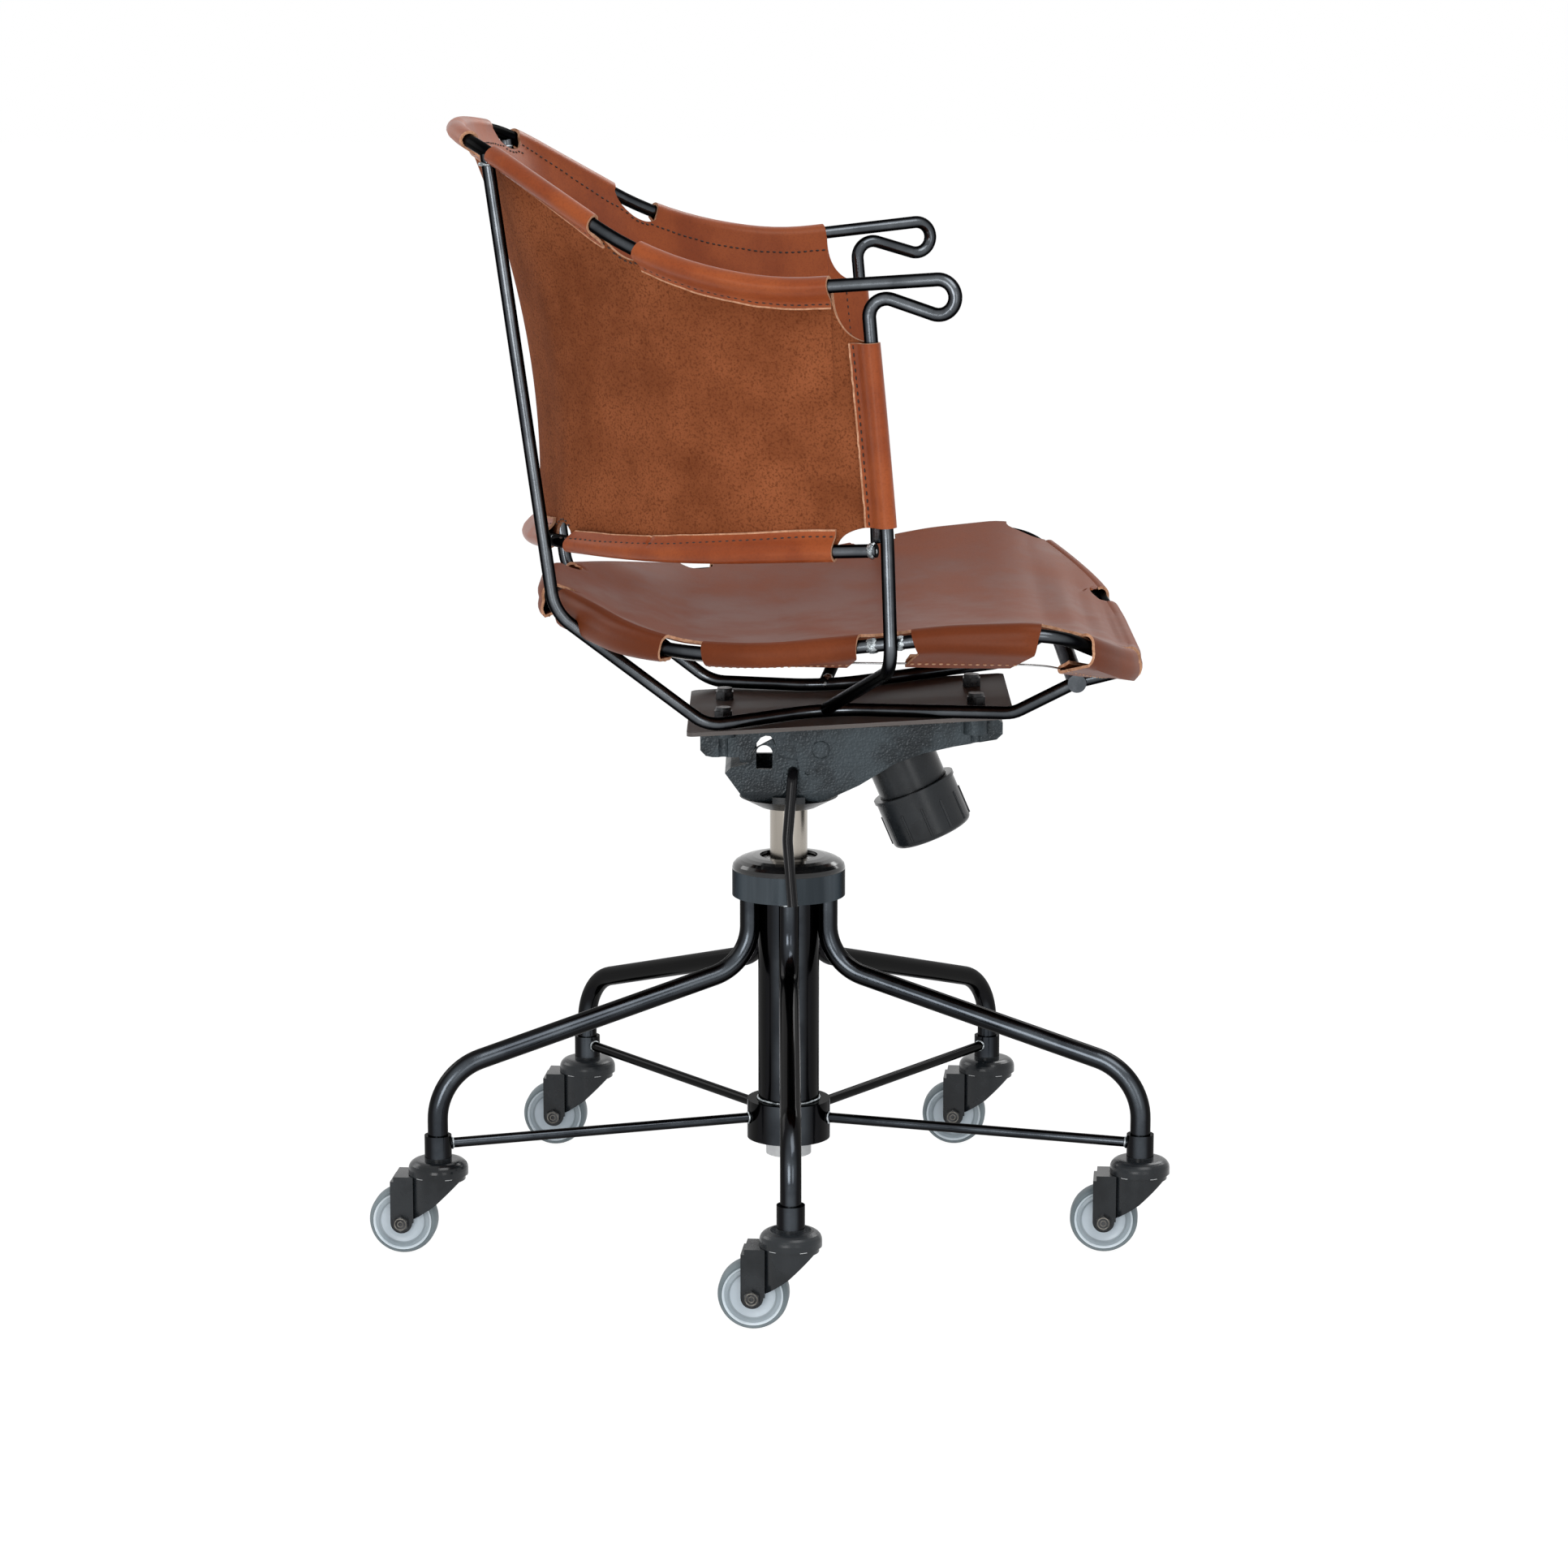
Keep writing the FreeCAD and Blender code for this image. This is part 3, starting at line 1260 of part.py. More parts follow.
def seat_leather():
    """Sling seat hung in the ring, with its rolled edge and the hem under it."""
    ring_points, ring_radii = frame_path(seat_ring_shares)
    hem_points, hem_radii = frame_path(hem_shares)
    rail_points, rail_radii = rail_path()
    places = bent_wire(ring_points, ring_radii).discretize(Number=seat_station_count)
    hems = bent_wire(hem_points, hem_radii).discretize(Number=seat_station_count)
    side_places = [ring_points[1]] + [
        place for place in places
        if ring_points[1].y - leather_t > place.y > ring_points[-1].y + leather_t] + [ring_points[-2]]
    sling = Part.makeLoft([sling_section(place) for place in side_places], True, True)
    roll = rod_along(ring_points, ring_radii, roll_r)
    flap = ribbon([
        (place - up_axis * roll_bore_r, place - up_axis * roll_r,
         hem - up_axis * leather_t / 2, hem + up_axis * leather_t / 2)
        for place, hem in zip(places, hems)])
    hem_roll = rod_along(hem_points, hem_radii, hem_r)
    hem = worn_away(hem_roll.fuse(flap), seat_gaps(places, flap_gap_depth))
    ring_bore = rod_along(ring_points, ring_radii, roll_bore_r)
    wire_bore = rod_along(hem_points, hem_radii, hem_wire_r + soft_gap)
    cutters = seat_gaps(places, edge_gap_depth)
    half = worn_away(roll, cutters).fuse(hem)
    cutters += [mirrored(cutter) for cutter in cutters]
    rail_bore = rod_along(rail_points[1:], [0] + rail_radii[2:], roll_bore_r)
    bores = [ring_bore, wire_bore, rail_bore]
    bores += [mirrored(bore) for bore in bores]
    whole = grown(sling, [half, mirrored(half)])
    return largest(worn_away(whole, cutters + bores))


def write_nodes(nodes):
    """Write each node and print its solids and volume."""
    os.makedirs("parts", exist_ok=True)
    for name, shape in nodes.items():
        solids = shape.Solids
        if not shape.isValid() or not solids:
            print("Check the shape of", name)
        print(name, len(solids), round(shape.Volume, 1))
        shape.exportStep("parts/%s.step" % name)


def main():
    """Make and write every node of the chair."""
    nodes = base_nodes()
    nodes.update(gas_lift_nodes())
    nodes.update(caster_nodes())
    nodes.update(mechanism_nodes())
    nodes["tilt_bracket"] = tilt_bracket()
    nodes["seat_plate"] = seat_plate()
    nodes["plate_bolts"] = plate_bolts()
    nodes.update(rod_frame_nodes())
    nodes["back_leather"] = back_leather()
    nodes["seat_leather"] = seat_leather()
    write_nodes(nodes)


main()
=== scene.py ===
"""Dress the leather sling office chair: hides, stitches, weld beads, caster wheels and finishes."""

import json
import logging
import math
from dataclasses import dataclass
from enum import Enum
from functools import lru_cache
from typing import Callable, Dict, List, NamedTuple, Optional, Sequence, Tuple, Union

import bpy
from mathutils import Matrix, Vector, noise


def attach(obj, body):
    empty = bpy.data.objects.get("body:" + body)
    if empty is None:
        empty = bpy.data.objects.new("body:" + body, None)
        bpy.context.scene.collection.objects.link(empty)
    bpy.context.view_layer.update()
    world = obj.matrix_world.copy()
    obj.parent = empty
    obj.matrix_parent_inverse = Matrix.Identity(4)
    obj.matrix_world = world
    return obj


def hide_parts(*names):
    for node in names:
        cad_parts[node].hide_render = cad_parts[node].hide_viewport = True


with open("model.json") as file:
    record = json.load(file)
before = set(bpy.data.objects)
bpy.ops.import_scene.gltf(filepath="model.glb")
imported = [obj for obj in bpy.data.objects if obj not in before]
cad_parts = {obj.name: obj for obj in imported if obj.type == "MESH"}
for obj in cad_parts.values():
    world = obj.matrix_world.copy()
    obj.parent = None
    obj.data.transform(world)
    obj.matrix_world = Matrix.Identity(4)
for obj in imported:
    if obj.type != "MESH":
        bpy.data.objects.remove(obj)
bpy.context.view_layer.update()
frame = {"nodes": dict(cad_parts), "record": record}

LOG = logging.getLogger("chair")

Shares = Tuple[float, ...]
Colour = Tuple[float, float, float]
Place = Tuple[float, float, float]
Piece = bpy.types.Object
Material = bpy.types.Material
Node = bpy.types.Node
Socket = bpy.types.NodeSocket
Surface = Callable[[int, int], Vector]
Feeds = Dict[Union[str, int], object]
Stitch = Tuple[Vector, Vector, Vector]

# Rod centre lines: share of the half width, share of the reach, share of the rise over the plate,
# bend radius as a share of the reach
BACK_ROD_SHARES: Tuple[Shares, ...] = (
    (0.0000, -0.9680, 1.0000, 0.00), (0.1925, -0.9680, 1.0000, 0.89),
    (0.4530, -0.8550, 0.9765, 0.355), (0.7925, -0.3690, 0.8004, 1.03),
    (0.8868, -0.0282, 0.7715, 0.923),
)
UPRIGHT_TOP_SHARES: Shares = (0.9170, 0.2702, 0.3824)
LOW_ROD_SHARES: Tuple[Shares, ...] = (
    (0.0000, -0.7620, 0.3118, 0.00), (0.1170, -0.7620, 0.3118, 0.80),
    (0.3870, -0.6650, 0.3235, 0.24), (0.6930, -0.3510, 0.3260, 1.20),
    (0.9057, 0.2420, 0.3518, 0.00),
)
SEAT_RING_SHARES: Tuple[Shares, ...] = (
    (0.0000, -0.7080, 0.2035, 0.00), (0.1700, -0.7080, 0.2035, 0.205),
    (0.7260, -0.3690, 0.1612, 0.77), (0.8020, -0.0290, 0.1706, 1.20),
    (0.9330, 0.4500, 0.2132, 1.00), (1.0010, 0.7350, 0.2250, 0.15),
    (0.7250, 0.9580, 0.1475, 0.80), (0.2770, 1.0000, 0.1153, 0.40),
    (0.0000, 1.0000, 0.1153, 0.00),
)
HEM_SHARES: Tuple[Shares, ...] = (
    (0.0000, -0.6700, 0.1860, 0.00), (0.1900, -0.6700, 0.1860, 0.15),
    (0.6550, -0.3300, 0.1412, 0.60), (0.7300, -0.0200, 0.1515, 0.90),
    (0.9200, 0.6900, 0.1673, 0.10), (0.6500, 0.8800, 0.1212, 0.50),
    (0.2500, 0.9200, 0.1209, 0.30), (0.0000, 0.9200, 0.1209, 0.00),
)
# Sag of the seat: share of the reach, share of the deepest sag
SAG_SHARES: Tuple[Shares, ...] = (
    (-0.72, 0.00), (-0.65, 0.09), (-0.48, 0.37), (-0.29, 0.62), (0.00, 0.75), (0.26, 0.88),
    (0.56, 1.00), (0.75, 1.00), (0.87, 0.62), (0.95, 0.37), (1.01, 0.00),
)
# Bulge of the back: share of the way round, share of the bulge
BULGE_SHARES: Tuple[Shares, ...] = (
    (0.00, 1.00), (0.25, 0.90), (0.45, 0.45), (0.70, 0.25), (1.00, 0.10))

UP = Vector((0.0, 0.0, 1.0))
SIDE = Vector((1.0, 0.0, 0.0))
LEGS = 5
FIRST_LEG = math.radians(180.25)
LEG_TURN = math.radians(72)
ROUND_ANGLE = math.radians(80)

# Sockets of a Mix node: its factor, both numbers and their mix, both colours and their mix
FACTOR, NUMBER_A, NUMBER_B, NUMBER_OUT = 0, 2, 3, 0
COLOUR_A, COLOUR_B, COLOUR_OUT = 6, 7, 2


def sideways(place: Vector) -> float:
    """Return how far a place lies to the side."""
    return place.x


def ahead(place: Vector) -> float:
    """Return how far a place lies towards the front."""
    return -place.y


def outward(along: Vector) -> Vector:
    """Return the level direction away from the sitter beside a run on the +X half."""
    return Vector((-along.y, along.x, 0.0)).normalized()


def smooth(share: float) -> float:
    """Return a share eased at both ends."""
    share = min(max(share, 0.0), 1.0)
    return share * share * (3 - 2 * share)


def leg_angle(index: int) -> float:
    """Return the heading of a leg, numbered from zero."""
    return FIRST_LEG + LEG_TURN * index


def cut_run(start: Vector, end: Vector, forward: float) -> Vector:
    """Return where a run from one point to another passes a forward distance."""
    return start + (end - start) * ((-forward - start.y) / (end.y - start.y))


def between(table: Sequence[Shares], share: float) -> float:
    """Return the second column of a table, eased between the rows on both sides of a share.

    Args:
        table: rows of a share and a value, in order.
        share: where to read it.

    Returns:
        The value there.
    """
    for (x0, y0), (x1, y1) in zip(table, table[1:]):
        if share <= x1:
            part = max(0.0, share - x0) / (x1 - x0)
            return y0 + (y1 - y0) * part * part * (3 - 2 * part)
    return table[-1][1]


class RodPoint(NamedTuple):
    """Place on a rod's middle line, with the ways out and along there."""

    centre: Vector
    out: Vector
    along: Vector


class Track:
    """Even walk along a bent rod's centre line, from its runs and bend radii."""

    step = math.radians(3)
    near = 0.002

    def __init__(self, points: List[Vector], radii: List[float]) -> None:
        """Round the corners of the runs and measure the line.

        Args:
            points: ends and corners of the runs.
            radii: bend radius at each of them.
        """
        self.places: List[Vector] = [points[0]]
        trims = self._trims(points, radii)
        for before, corner, after, trim in zip(points, points[1:], points[2:], trims[1:]):
            self._round(before, corner, after, trim)
        self.places.append(points[-1])
        self.lengths = [0.0]
        for start, end in zip(self.places, self.places[1:]):
            self.lengths.append(self.lengths[-1] + (end - start).length)
        self.total = self.lengths[-1]

    @staticmethod
    def _trims(points: List[Vector], radii: List[float]) -> List[float]:
        """Return how far each bend takes off its runs, kept within them.

        Args:
            points: ends and corners of the runs.
            radii: bend radius at each of them.

        Returns:
            One length for each point.
        """
        trims = [0.0]
        for before, corner, after, radius in zip(points, points[1:], points[2:], radii[1:]):
            trims.append(radius * math.tan((corner - before).angle(after - corner) / 2))
        trims.append(0.0)
        runs = [(end - start).length for start, end in zip(points, points[1:])]
        shares = [min(1.0, run / max(run, first + second))
                  for run, first, second in zip(runs, trims, trims[1:])]
        last = len(shares) - 1
        return [trim * min(shares[max(i - 1, 0)], shares[min(i, last)]) for i, trim in enumerate(trims)]

    def _round(self, before: Vector, corner: Vector, after: Vector, trim: float) -> None:
        """Add the arc that rounds one corner.

        Args:
            before: point before the corner.
            corner: the corner.
            after: point after it.
            trim: how far the arc starts from the corner.
        """
        run_in = (corner - before).normalized()
        run_out = (after - corner).normalized()
        turn = run_in.angle(run_out)
        inward = (run_out - run_in).normalized()
        radius = trim / math.tan(turn / 2)
        centre = corner + inward * (radius / math.cos(turn / 2))
        spoke = corner - run_in * trim - centre
        axis = run_in.cross(run_out)
        count = max(2, math.ceil(turn / self.step))
        for i in range(count + 1):
            self.places.append(centre + Matrix.Rotation(turn * i / count, 3, axis) @ spoke)

    def at(self, share: float) -> Vector:
        """Return the point at a share of the length.

        Args:
            share: share of the length, kept between zero and one.

        Returns:
            The point on the line.
        """
        target = min(max(share, 0.0), 1.0) * self.total
        low, high = 0, len(self.lengths) - 1
        while high - low > 1:
            middle = (low + high) // 2
            low, high = (middle, high) if self.lengths[middle] <= target else (low, middle)
        span = self.lengths[high] - self.lengths[low]
        part = (target - self.lengths[low]) / span if span else 0.0
        return self.places[low].lerp(self.places[high], part)

    def along(self, share: float) -> Vector:
        """Return the direction of the line at a share of the length."""
        near = self.near / self.total
        return (self.at(share + near) - self.at(share - near)).normalized()

    def point(self, share: float) -> RodPoint:
        """Return the place and the ways at a share of the length."""
        along = self.along(share)
        return RodPoint(self.at(share), outward(along), along)

    def share_where(self, measure: Callable[[Vector], float], value: float, start: float = 0.0) -> float:
        """Return the first share past a start at which a measure of the point passes a value.

        Args:
            measure: gives a number for a place.
            value: number that it passes.
            start: share to start from.

        Returns:
            The share, or one where the value is never passed.
        """
        below = measure(self.at(start)) < value
        for i in range(1, len(self.places)):
            if self.lengths[i] > start * self.total and (measure(self.places[i]) < value) != below:
                before = measure(self.places[i - 1])
                part = (value - before) / (measure(self.places[i]) - before)
                return (self.lengths[i - 1] + (self.lengths[i] - self.lengths[i - 1]) * part) / self.total
        return 1.0

    def span(self, measure: Callable[[Vector], float], values: Sequence[float],
             start: float = 0.0) -> Shares:
        """Return the shares at which a measure of the point passes each value."""
        return tuple(self.share_where(measure, value, start) for value in values)


@dataclass(frozen=True)
class FrameSizes:
    """Sizes of the rod frame in metres."""

    half_width: float = 0.265
    reach: float = 0.248
    rise: float = 0.425
    plate_height: float = 0.3946
    arm_slope: float = math.radians(4.97)
    arm_heading: float = math.radians(18.8)
    loop_reach: float = 0.1132
    rod_radius: float = 0.00475

    def place(self, shares: Shares) -> Vector:
        """Return the point that a row of shares gives."""
        return Vector((shares[0] * self.half_width, -shares[1] * self.reach,
                       self.plate_height + shares[2] * self.rise))

    def runs(self, rows: Sequence[Shares]) -> Tuple[List[Vector], List[float]]:
        """Return the points and the bend radii that a table of shares gives."""
        return [self.place(row) for row in rows], [row[3] * self.reach for row in rows]

    def track(self, rows: Sequence[Shares]) -> Track:
        """Return the centre line that a table of shares gives."""
        return Track(*self.runs(rows))


class Bench:
    """Modelling steps on Blender objects, as done by hand."""

    bead_cells = (28, 8)

    @staticmethod
    def clear() -> None:
        """Leave edit mode and deselect everything."""
        if bpy.context.object and bpy.context.object.mode != "OBJECT":
            bpy.ops.object.mode_set(mode="OBJECT")
        bpy.ops.object.select_all(action="DESELECT")

    @classmethod
    def pick(cls, *pieces: Piece) -> None:
        """Select some pieces alone and make the first one active.

        Args:
            pieces: the pieces.
        """
        cls.clear()
        for piece in pieces:
            piece.select_set(True)
        bpy.context.view_layer.objects.active = pieces[0]

    @classmethod
    def grid(cls, columns: int, rows: int, surface: Surface) -> Piece:
        """Add a grid primitive and lay its corners on a surface.

        Args:
            columns: number of cells along the sheet.
            rows: number of cells across it.
            surface: gives the place of a corner from its column and row.

        Returns:
            The grid as an object of its own.
        """
        cls.clear()
        bpy.ops.mesh.primitive_grid_add(x_subdivisions=columns, y_subdivisions=rows, size=1)
        piece = bpy.context.object
        for vertex in piece.data.vertices:
            column = round((vertex.co.x + 0.5) * columns)
            row = round((vertex.co.y + 0.5) * rows)
            vertex.co = surface(column, row)
        return piece

    @classmethod
    def bead(cls, radius: float, bead: float) -> Piece:
        """Add a round bead about the Z axis.

        Args:
            radius: radius of the ring that it follows.
            bead: radius of the bead itself.

        Returns:
            The bead at the origin.
        """
        cls.clear()
        around, across = cls.bead_cells
        bpy.ops.mesh.primitive_torus_add(
            major_segments=around, minor_segments=across, major_radius=radius, minor_radius=bead)
        return bpy.context.object

    @staticmethod
    def lay(piece: Piece, place: Vector, axis: Vector, size: Place = (1.0, 1.0, 1.0)) -> Piece:
        """Scale a new mesh, turn its Z axis to a direction and set it in place.

        Args:
            piece: the piece, made at the origin.
            place: where its middle goes.
            axis: direction that its Z axis gets.
            size: scale along its own axes.

        Returns:
            The same piece.
        """
        turn = axis.to_track_quat("Z", "Y").to_matrix().to_4x4()
        piece.data.transform(Matrix.Translation(place) @ turn @ Matrix.Diagonal((*size, 1.0)))
        return piece

    @classmethod
    def join(cls, pieces: List[Piece], name: str) -> Piece:
        """Join pieces into one with a name.

        Args:
            pieces: the pieces, the one that stays first.
            name: name of the object and of its mesh.

        Returns:
            The joined piece.
        """
        cls.pick(*pieces)
        if len(pieces) > 1:
            bpy.ops.object.join()
        pieces[0].name = pieces[0].data.name = name
        return pieces[0]

    @classmethod
    def edit(cls, piece: Piece, *steps: Callable[[], object]) -> None:
        """Run edit-mode steps on a piece that is selected all over.

        Args:
            piece: the piece.
            steps: what is done in edit mode, in order.
        """
        cls.pick(piece)
        bpy.ops.object.mode_set(mode="EDIT")
        bpy.ops.mesh.select_all(action="SELECT")
        for step in steps:
            step()
        bpy.ops.object.mode_set(mode="OBJECT")

    @classmethod
    def merge(cls, piece: Piece, distance: float) -> None:
        """Merge corners that meet and turn the faces the same way."""
        cls.edit(piece, lambda: bpy.ops.mesh.remove_doubles(threshold=distance),
                 lambda: bpy.ops.mesh.normals_make_consistent(inside=False))

    @classmethod
    def face_towards(cls, piece: Piece, place: Vector, direction: Vector) -> None:
        """Turn an open sheet over unless the face nearest a place looks in a direction.

        Args:
            piece: the sheet.
            place: where the face is looked for.
            direction: way that it has to look.
        """
        nearest = min(piece.data.polygons, key=lambda face: (face.center - place).length)
        if nearest.normal.dot(direction) < 0:
            cls.edit(piece, bpy.ops.mesh.flip_normals)

    @classmethod
    def modify(cls, piece: Piece, kind: str, **settings: object) -> None:
        """Add a modifier, set it and apply it.

        Args:
            piece: the piece.
            kind: kind of modifier.
            settings: the modifier's properties.
        """
        cls.pick(piece)
        modifier = piece.modifiers.new(kind.lower(), kind)
        for key, value in settings.items():
            setattr(modifier, key, value)
        bpy.ops.object.modifier_apply(modifier=modifier.name)

    @classmethod
    def mirror(cls, piece: Piece, **settings: object) -> None:
        """Add the other half of a piece."""
        cls.modify(piece, "MIRROR", use_axis=(True, False, False), **settings)

    @classmethod
    def smooth(cls, piece: Piece, angle: float = math.radians(40)) -> None:
        """Shade a piece smooth except over sharp edges.

        Args:
            piece: the piece.
            angle: turn past which an edge is sharp.
        """
        cls.pick(piece)
        bpy.ops.object.shade_smooth_by_angle(angle=angle)
        cls.clear()

    @staticmethod
    def paint(piece: Piece, materials: Sequence[Material]) -> None:
        """Give a piece its materials in order.

        Args:
            piece: the piece.
            materials: its materials.
        """
        piece.data.materials.clear()
        for material in materials:
            piece.data.materials.append(material)


class Wiring:
    """A shader tree, with short ways to add and feed its nodes."""

    def __init__(self, tree: bpy.types.NodeTree) -> None:
        """Take the tree to wire."""
        self.tree = tree

    def feed(self, node: Node, feeds: Feeds) -> Node:
        """Set a node's inputs, or link them where a feed is another node's output.

        Args:
            node: the node.
            feeds: value or output for each input, by name or number.

        Returns:
            The same node.
        """
        for key, value in feeds.items():
            if isinstance(value, Socket):
                self.tree.links.new(value, node.inputs[key])
            else:
                node.inputs[key].default_value = value
        return node

    def add(self, kind: str, feeds: Optional[Feeds] = None, **settings: object) -> Node:
        """Add a node.

        Args:
            kind: kind of shader node.
            feeds: value or output for each input, by name or number.
            settings: the node's own properties.

        Returns:
            The new node.
        """
        node = self.tree.nodes.new("ShaderNode" + kind)
        for key, value in settings.items():
            setattr(node, key, value)
        return self.feed(node, feeds or {})

    def blend(self, amount: Socket, first: object, second: object) -> Socket:
        """Return two colours mixed by an amount."""
        feeds = {FACTOR: amount, COLOUR_A: first, COLOUR_B: second}
        return self.add("Mix", feeds, data_type="RGBA").outputs[COLOUR_OUT]

    def eased(self, value: Socket, low: object, high: object) -> Socket:
        """Return how far a value lies between two others, eased at both ends."""
        feeds = {"Value": value, "From Min": low, "From Max": high}
        return self.add("MapRange", feeds, interpolation_type="SMOOTHSTEP").outputs["Result"]

    def combine(self, operation: str, first: Socket, second: object) -> Socket:
        """Return two numbers combined."""
        return self.add("Math", {0: first, 1: second}, operation=operation).outputs["Value"]

    def seen_white(self) -> Socket:
        """Return a mask of the rays that see the background: straight, mirrored or through glass.

        Returns:
            One for those rays and zero for the others.
        """
        rays = self.add("LightPath").outputs
        mirrored = self.combine("MAXIMUM", rays["Is Glossy Ray"], rays["Is Transmission Ray"])
        return self.combine("MAXIMUM", rays["Is Camera Ray"], mirrored)


class NodeGroups:
    """Shader node groups that several finishes share, each built once."""

    @staticmethod
    def _start(name: str, inputs: Dict[str, str], outputs: Dict[str, str]) -> Tuple[Wiring, object, Node]:
        """Start a group.

        Args:
            name: name of the group.
            inputs: kind of each input socket.
            outputs: kind of each output socket.

        Returns:
            The group's wiring, what its inputs give, and the node that takes its outputs.
        """
        tree = bpy.data.node_groups.new(name, "ShaderNodeTree")
        for way, sockets in (("INPUT", inputs), ("OUTPUT", outputs)):
            for label, kind in sockets.items():
                tree.interface.new_socket(name=label, in_out=way, socket_type="NodeSocket" + kind)
        return Wiring(tree), tree.nodes.new("NodeGroupInput").outputs, tree.nodes.new("NodeGroupOutput")

    @staticmethod
    @lru_cache(maxsize=None)
    def mottle() -> bpy.types.NodeTree:
        """Return the group that mixes two colours in clouds and gives the mask that mixes them.

        Returns:
            The group, made at the first call.
        """
        wiring, given, sink = NodeGroups._start(
            "mottle", {"Vector": "Vector", "Scale": "Float", "Low": "Float", "High": "Float",
                       "Dark": "Color", "Light": "Color"}, {"Color": "Color", "Mask": "Float"})
        cloud = wiring.add("TexNoise", {
            "Vector": given["Vector"], "Scale": given["Scale"], "Detail": 6.0, "Roughness": 0.6})
        mask = wiring.eased(cloud.outputs["Fac"], given["Low"], given["High"])
        wiring.feed(sink, {"Color": wiring.blend(mask, given["Dark"], given["Light"]), "Mask": mask})
        return wiring.tree

    @staticmethod
    @lru_cache(maxsize=None)
    def relief() -> bpy.types.NodeTree:
        """Return the group that gives the height of small pits and pebbles.

        Returns:
            The group, made at the first call.
        """
        wiring, given, sink = NodeGroups._start(
            "relief", {"Vector": "Vector", "Scale": "Float", "Pits": "Float"}, {"Height": "Float"})
        spread = {"Vector": given["Vector"], "Scale": given["Scale"]}
        cloud = wiring.add("TexNoise", {**spread, "Detail": 4.0})
        pits = wiring.add("TexVoronoi", spread, feature="SMOOTH_F1")
        height = wiring.add("Mix", {
            FACTOR: given["Pits"], NUMBER_A: cloud.outputs["Fac"], NUMBER_B: pits.outputs["Distance"]})
        wiring.feed(sink, {"Height": height.outputs[NUMBER_OUT]})
        return wiring.tree


class Pattern(Enum):
    """How a finish's small relief runs over the surface."""

    EVEN = (1.0, 1.0, 1.0)
    UPRIGHT = (1.0, 1.0, 0.06)
    LENGTHWISE = (1.0, 0.12, 1.0)


@dataclass(frozen=True)
class Finish:
    """One finish: its colours, gloss and small relief."""

    name: str
    dark: Colour
    light: Colour
    cloud_scale: float = 18.0
    cloud_low: float = 0.35
    cloud_high: float = 0.65
    metallic: float = 0.0
    roughness: float = 0.5
    roughness_swing: float = 0.08
    relief_scale: float = 900.0
    relief_pits: float = 0.5
    relief_height: float = 0.00003
    pattern: Pattern = Pattern.EVEN
    specular: float = 0.5
    tint: Colour = (1.0, 1.0, 1.0)
    coat: float = 0.0
    coat_roughness: float = 0.1
    # rim: painted reflection. Towards a tube's outline as the camera sees it, the colour turns to rim, and
    # the field after it sets how far in, so the middle reads as a light stripe.
    rim: Optional[Colour] = None
    painted_reflection_reach: float = 0.3

    def material(self) -> Material:
        """Build the finish.

        Returns:
            The finish as a material with nodes.
        """
        material = bpy.data.materials.new(self.name)
        material.use_nodes = True
        wiring = Wiring(material.node_tree)
        place = wiring.add("TexCoord").outputs["Object"]
        vector = wiring.add("Mapping", {"Vector": place, "Scale": self.pattern.value}).outputs["Vector"]
        mottle = self.mottle(wiring, vector, self.cloud_scale, self.cloud_low, self.cloud_high,
                             Dark=(*self.dark, 1.0), Light=(*self.light, 1.0))
        gloss = wiring.add("MapRange", {
            "Value": mottle.outputs["Mask"], "To Min": self.roughness - self.roughness_swing,
            "To Max": self.roughness + self.roughness_swing})
        relief = self.relief(wiring, vector, self.relief_scale, self.relief_pits)
        wiring.feed(wiring.tree.nodes["Principled BSDF"], {
            "Base Color": self.colour(wiring, mottle.outputs["Color"], vector),
            "Roughness": gloss.outputs["Result"],
            "Normal": self.bump(wiring, relief, self.relief_height, self.folds(wiring, vector)),
            "Metallic": self.metallic, "Specular IOR Level": self.specular,
            "Specular Tint": (*self.tint, 1.0), "Coat Weight": self.coat,
            "Coat Roughness": self.coat_roughness})
        return material

    @staticmethod
    def mottle(wiring: Wiring, vector: Socket, scale: float, low: float, high: float,
               **colours: Tuple[float, ...]) -> Node:
        """Place the mottle group.

        Args:
            wiring: the material's wiring.
            vector: coordinates.
            scale: how fine the clouds are.
            low: noise level below which the dark colour is plain.
            high: noise level above which the light colour is plain.
            colours: both colours, left out where only the mask is used.

        Returns:
            The group's node.
        """
        return wiring.add("Group", {
            "Vector": vector, "Scale": scale, "Low": low, "High": high, **colours},
            node_tree=NodeGroups.mottle())

    @staticmethod
    def relief(wiring: Wiring, vector: Socket, scale: float, pits: float) -> Socket:
        """Return the height that the relief group gives at a scale."""
        feeds = {"Vector": vector, "Scale": scale, "Pits": pits}
        return wiring.add("Group", feeds, node_tree=NodeGroups.relief()).outputs["Height"]

    @staticmethod
    def bump(wiring: Wiring, height: Socket, distance: float, under: Optional[Socket]) -> Socket:
        """Return the normal of a relief, on top of another normal if one is given.

        Args:
            wiring: the material's wiring.
            height: height of the relief.
            distance: how far a height of one stands out, in metres.
            under: the other normal.

        Returns:
            The normal.
        """
        feeds = {"Height": height, "Distance": distance}
        if under:
            feeds["Normal"] = under
        return wiring.add("Bump", feeds).outputs["Normal"]

    def colour(self, wiring: Wiring, mottled: Socket, vector: Socket) -> Socket:
        """Darken the colour towards a tube's outline as the camera sees it, a painted reflection with a
        light middle.

        Args:
            wiring: the material's wiring.
            mottled: the mottled colour.
            vector: coordinates, which only some finishes use.

        Returns:
            The colour of the surface.
        """
        if not self.rim:
            return mottled
        # Painted reflection: where the tube faces the camera it keeps its colour, and towards its outline it
        # turns dark.
        facing = wiring.add("LayerWeight").outputs["Facing"]
        return wiring.blend(wiring.eased(facing, 0.0, self.painted_reflection_reach), mottled, (*self.rim, 1.0))

    def folds(self, wiring: Wiring, vector: Socket) -> Optional[Socket]:
        """Return the normal under the small relief, which only hides have."""
        return None


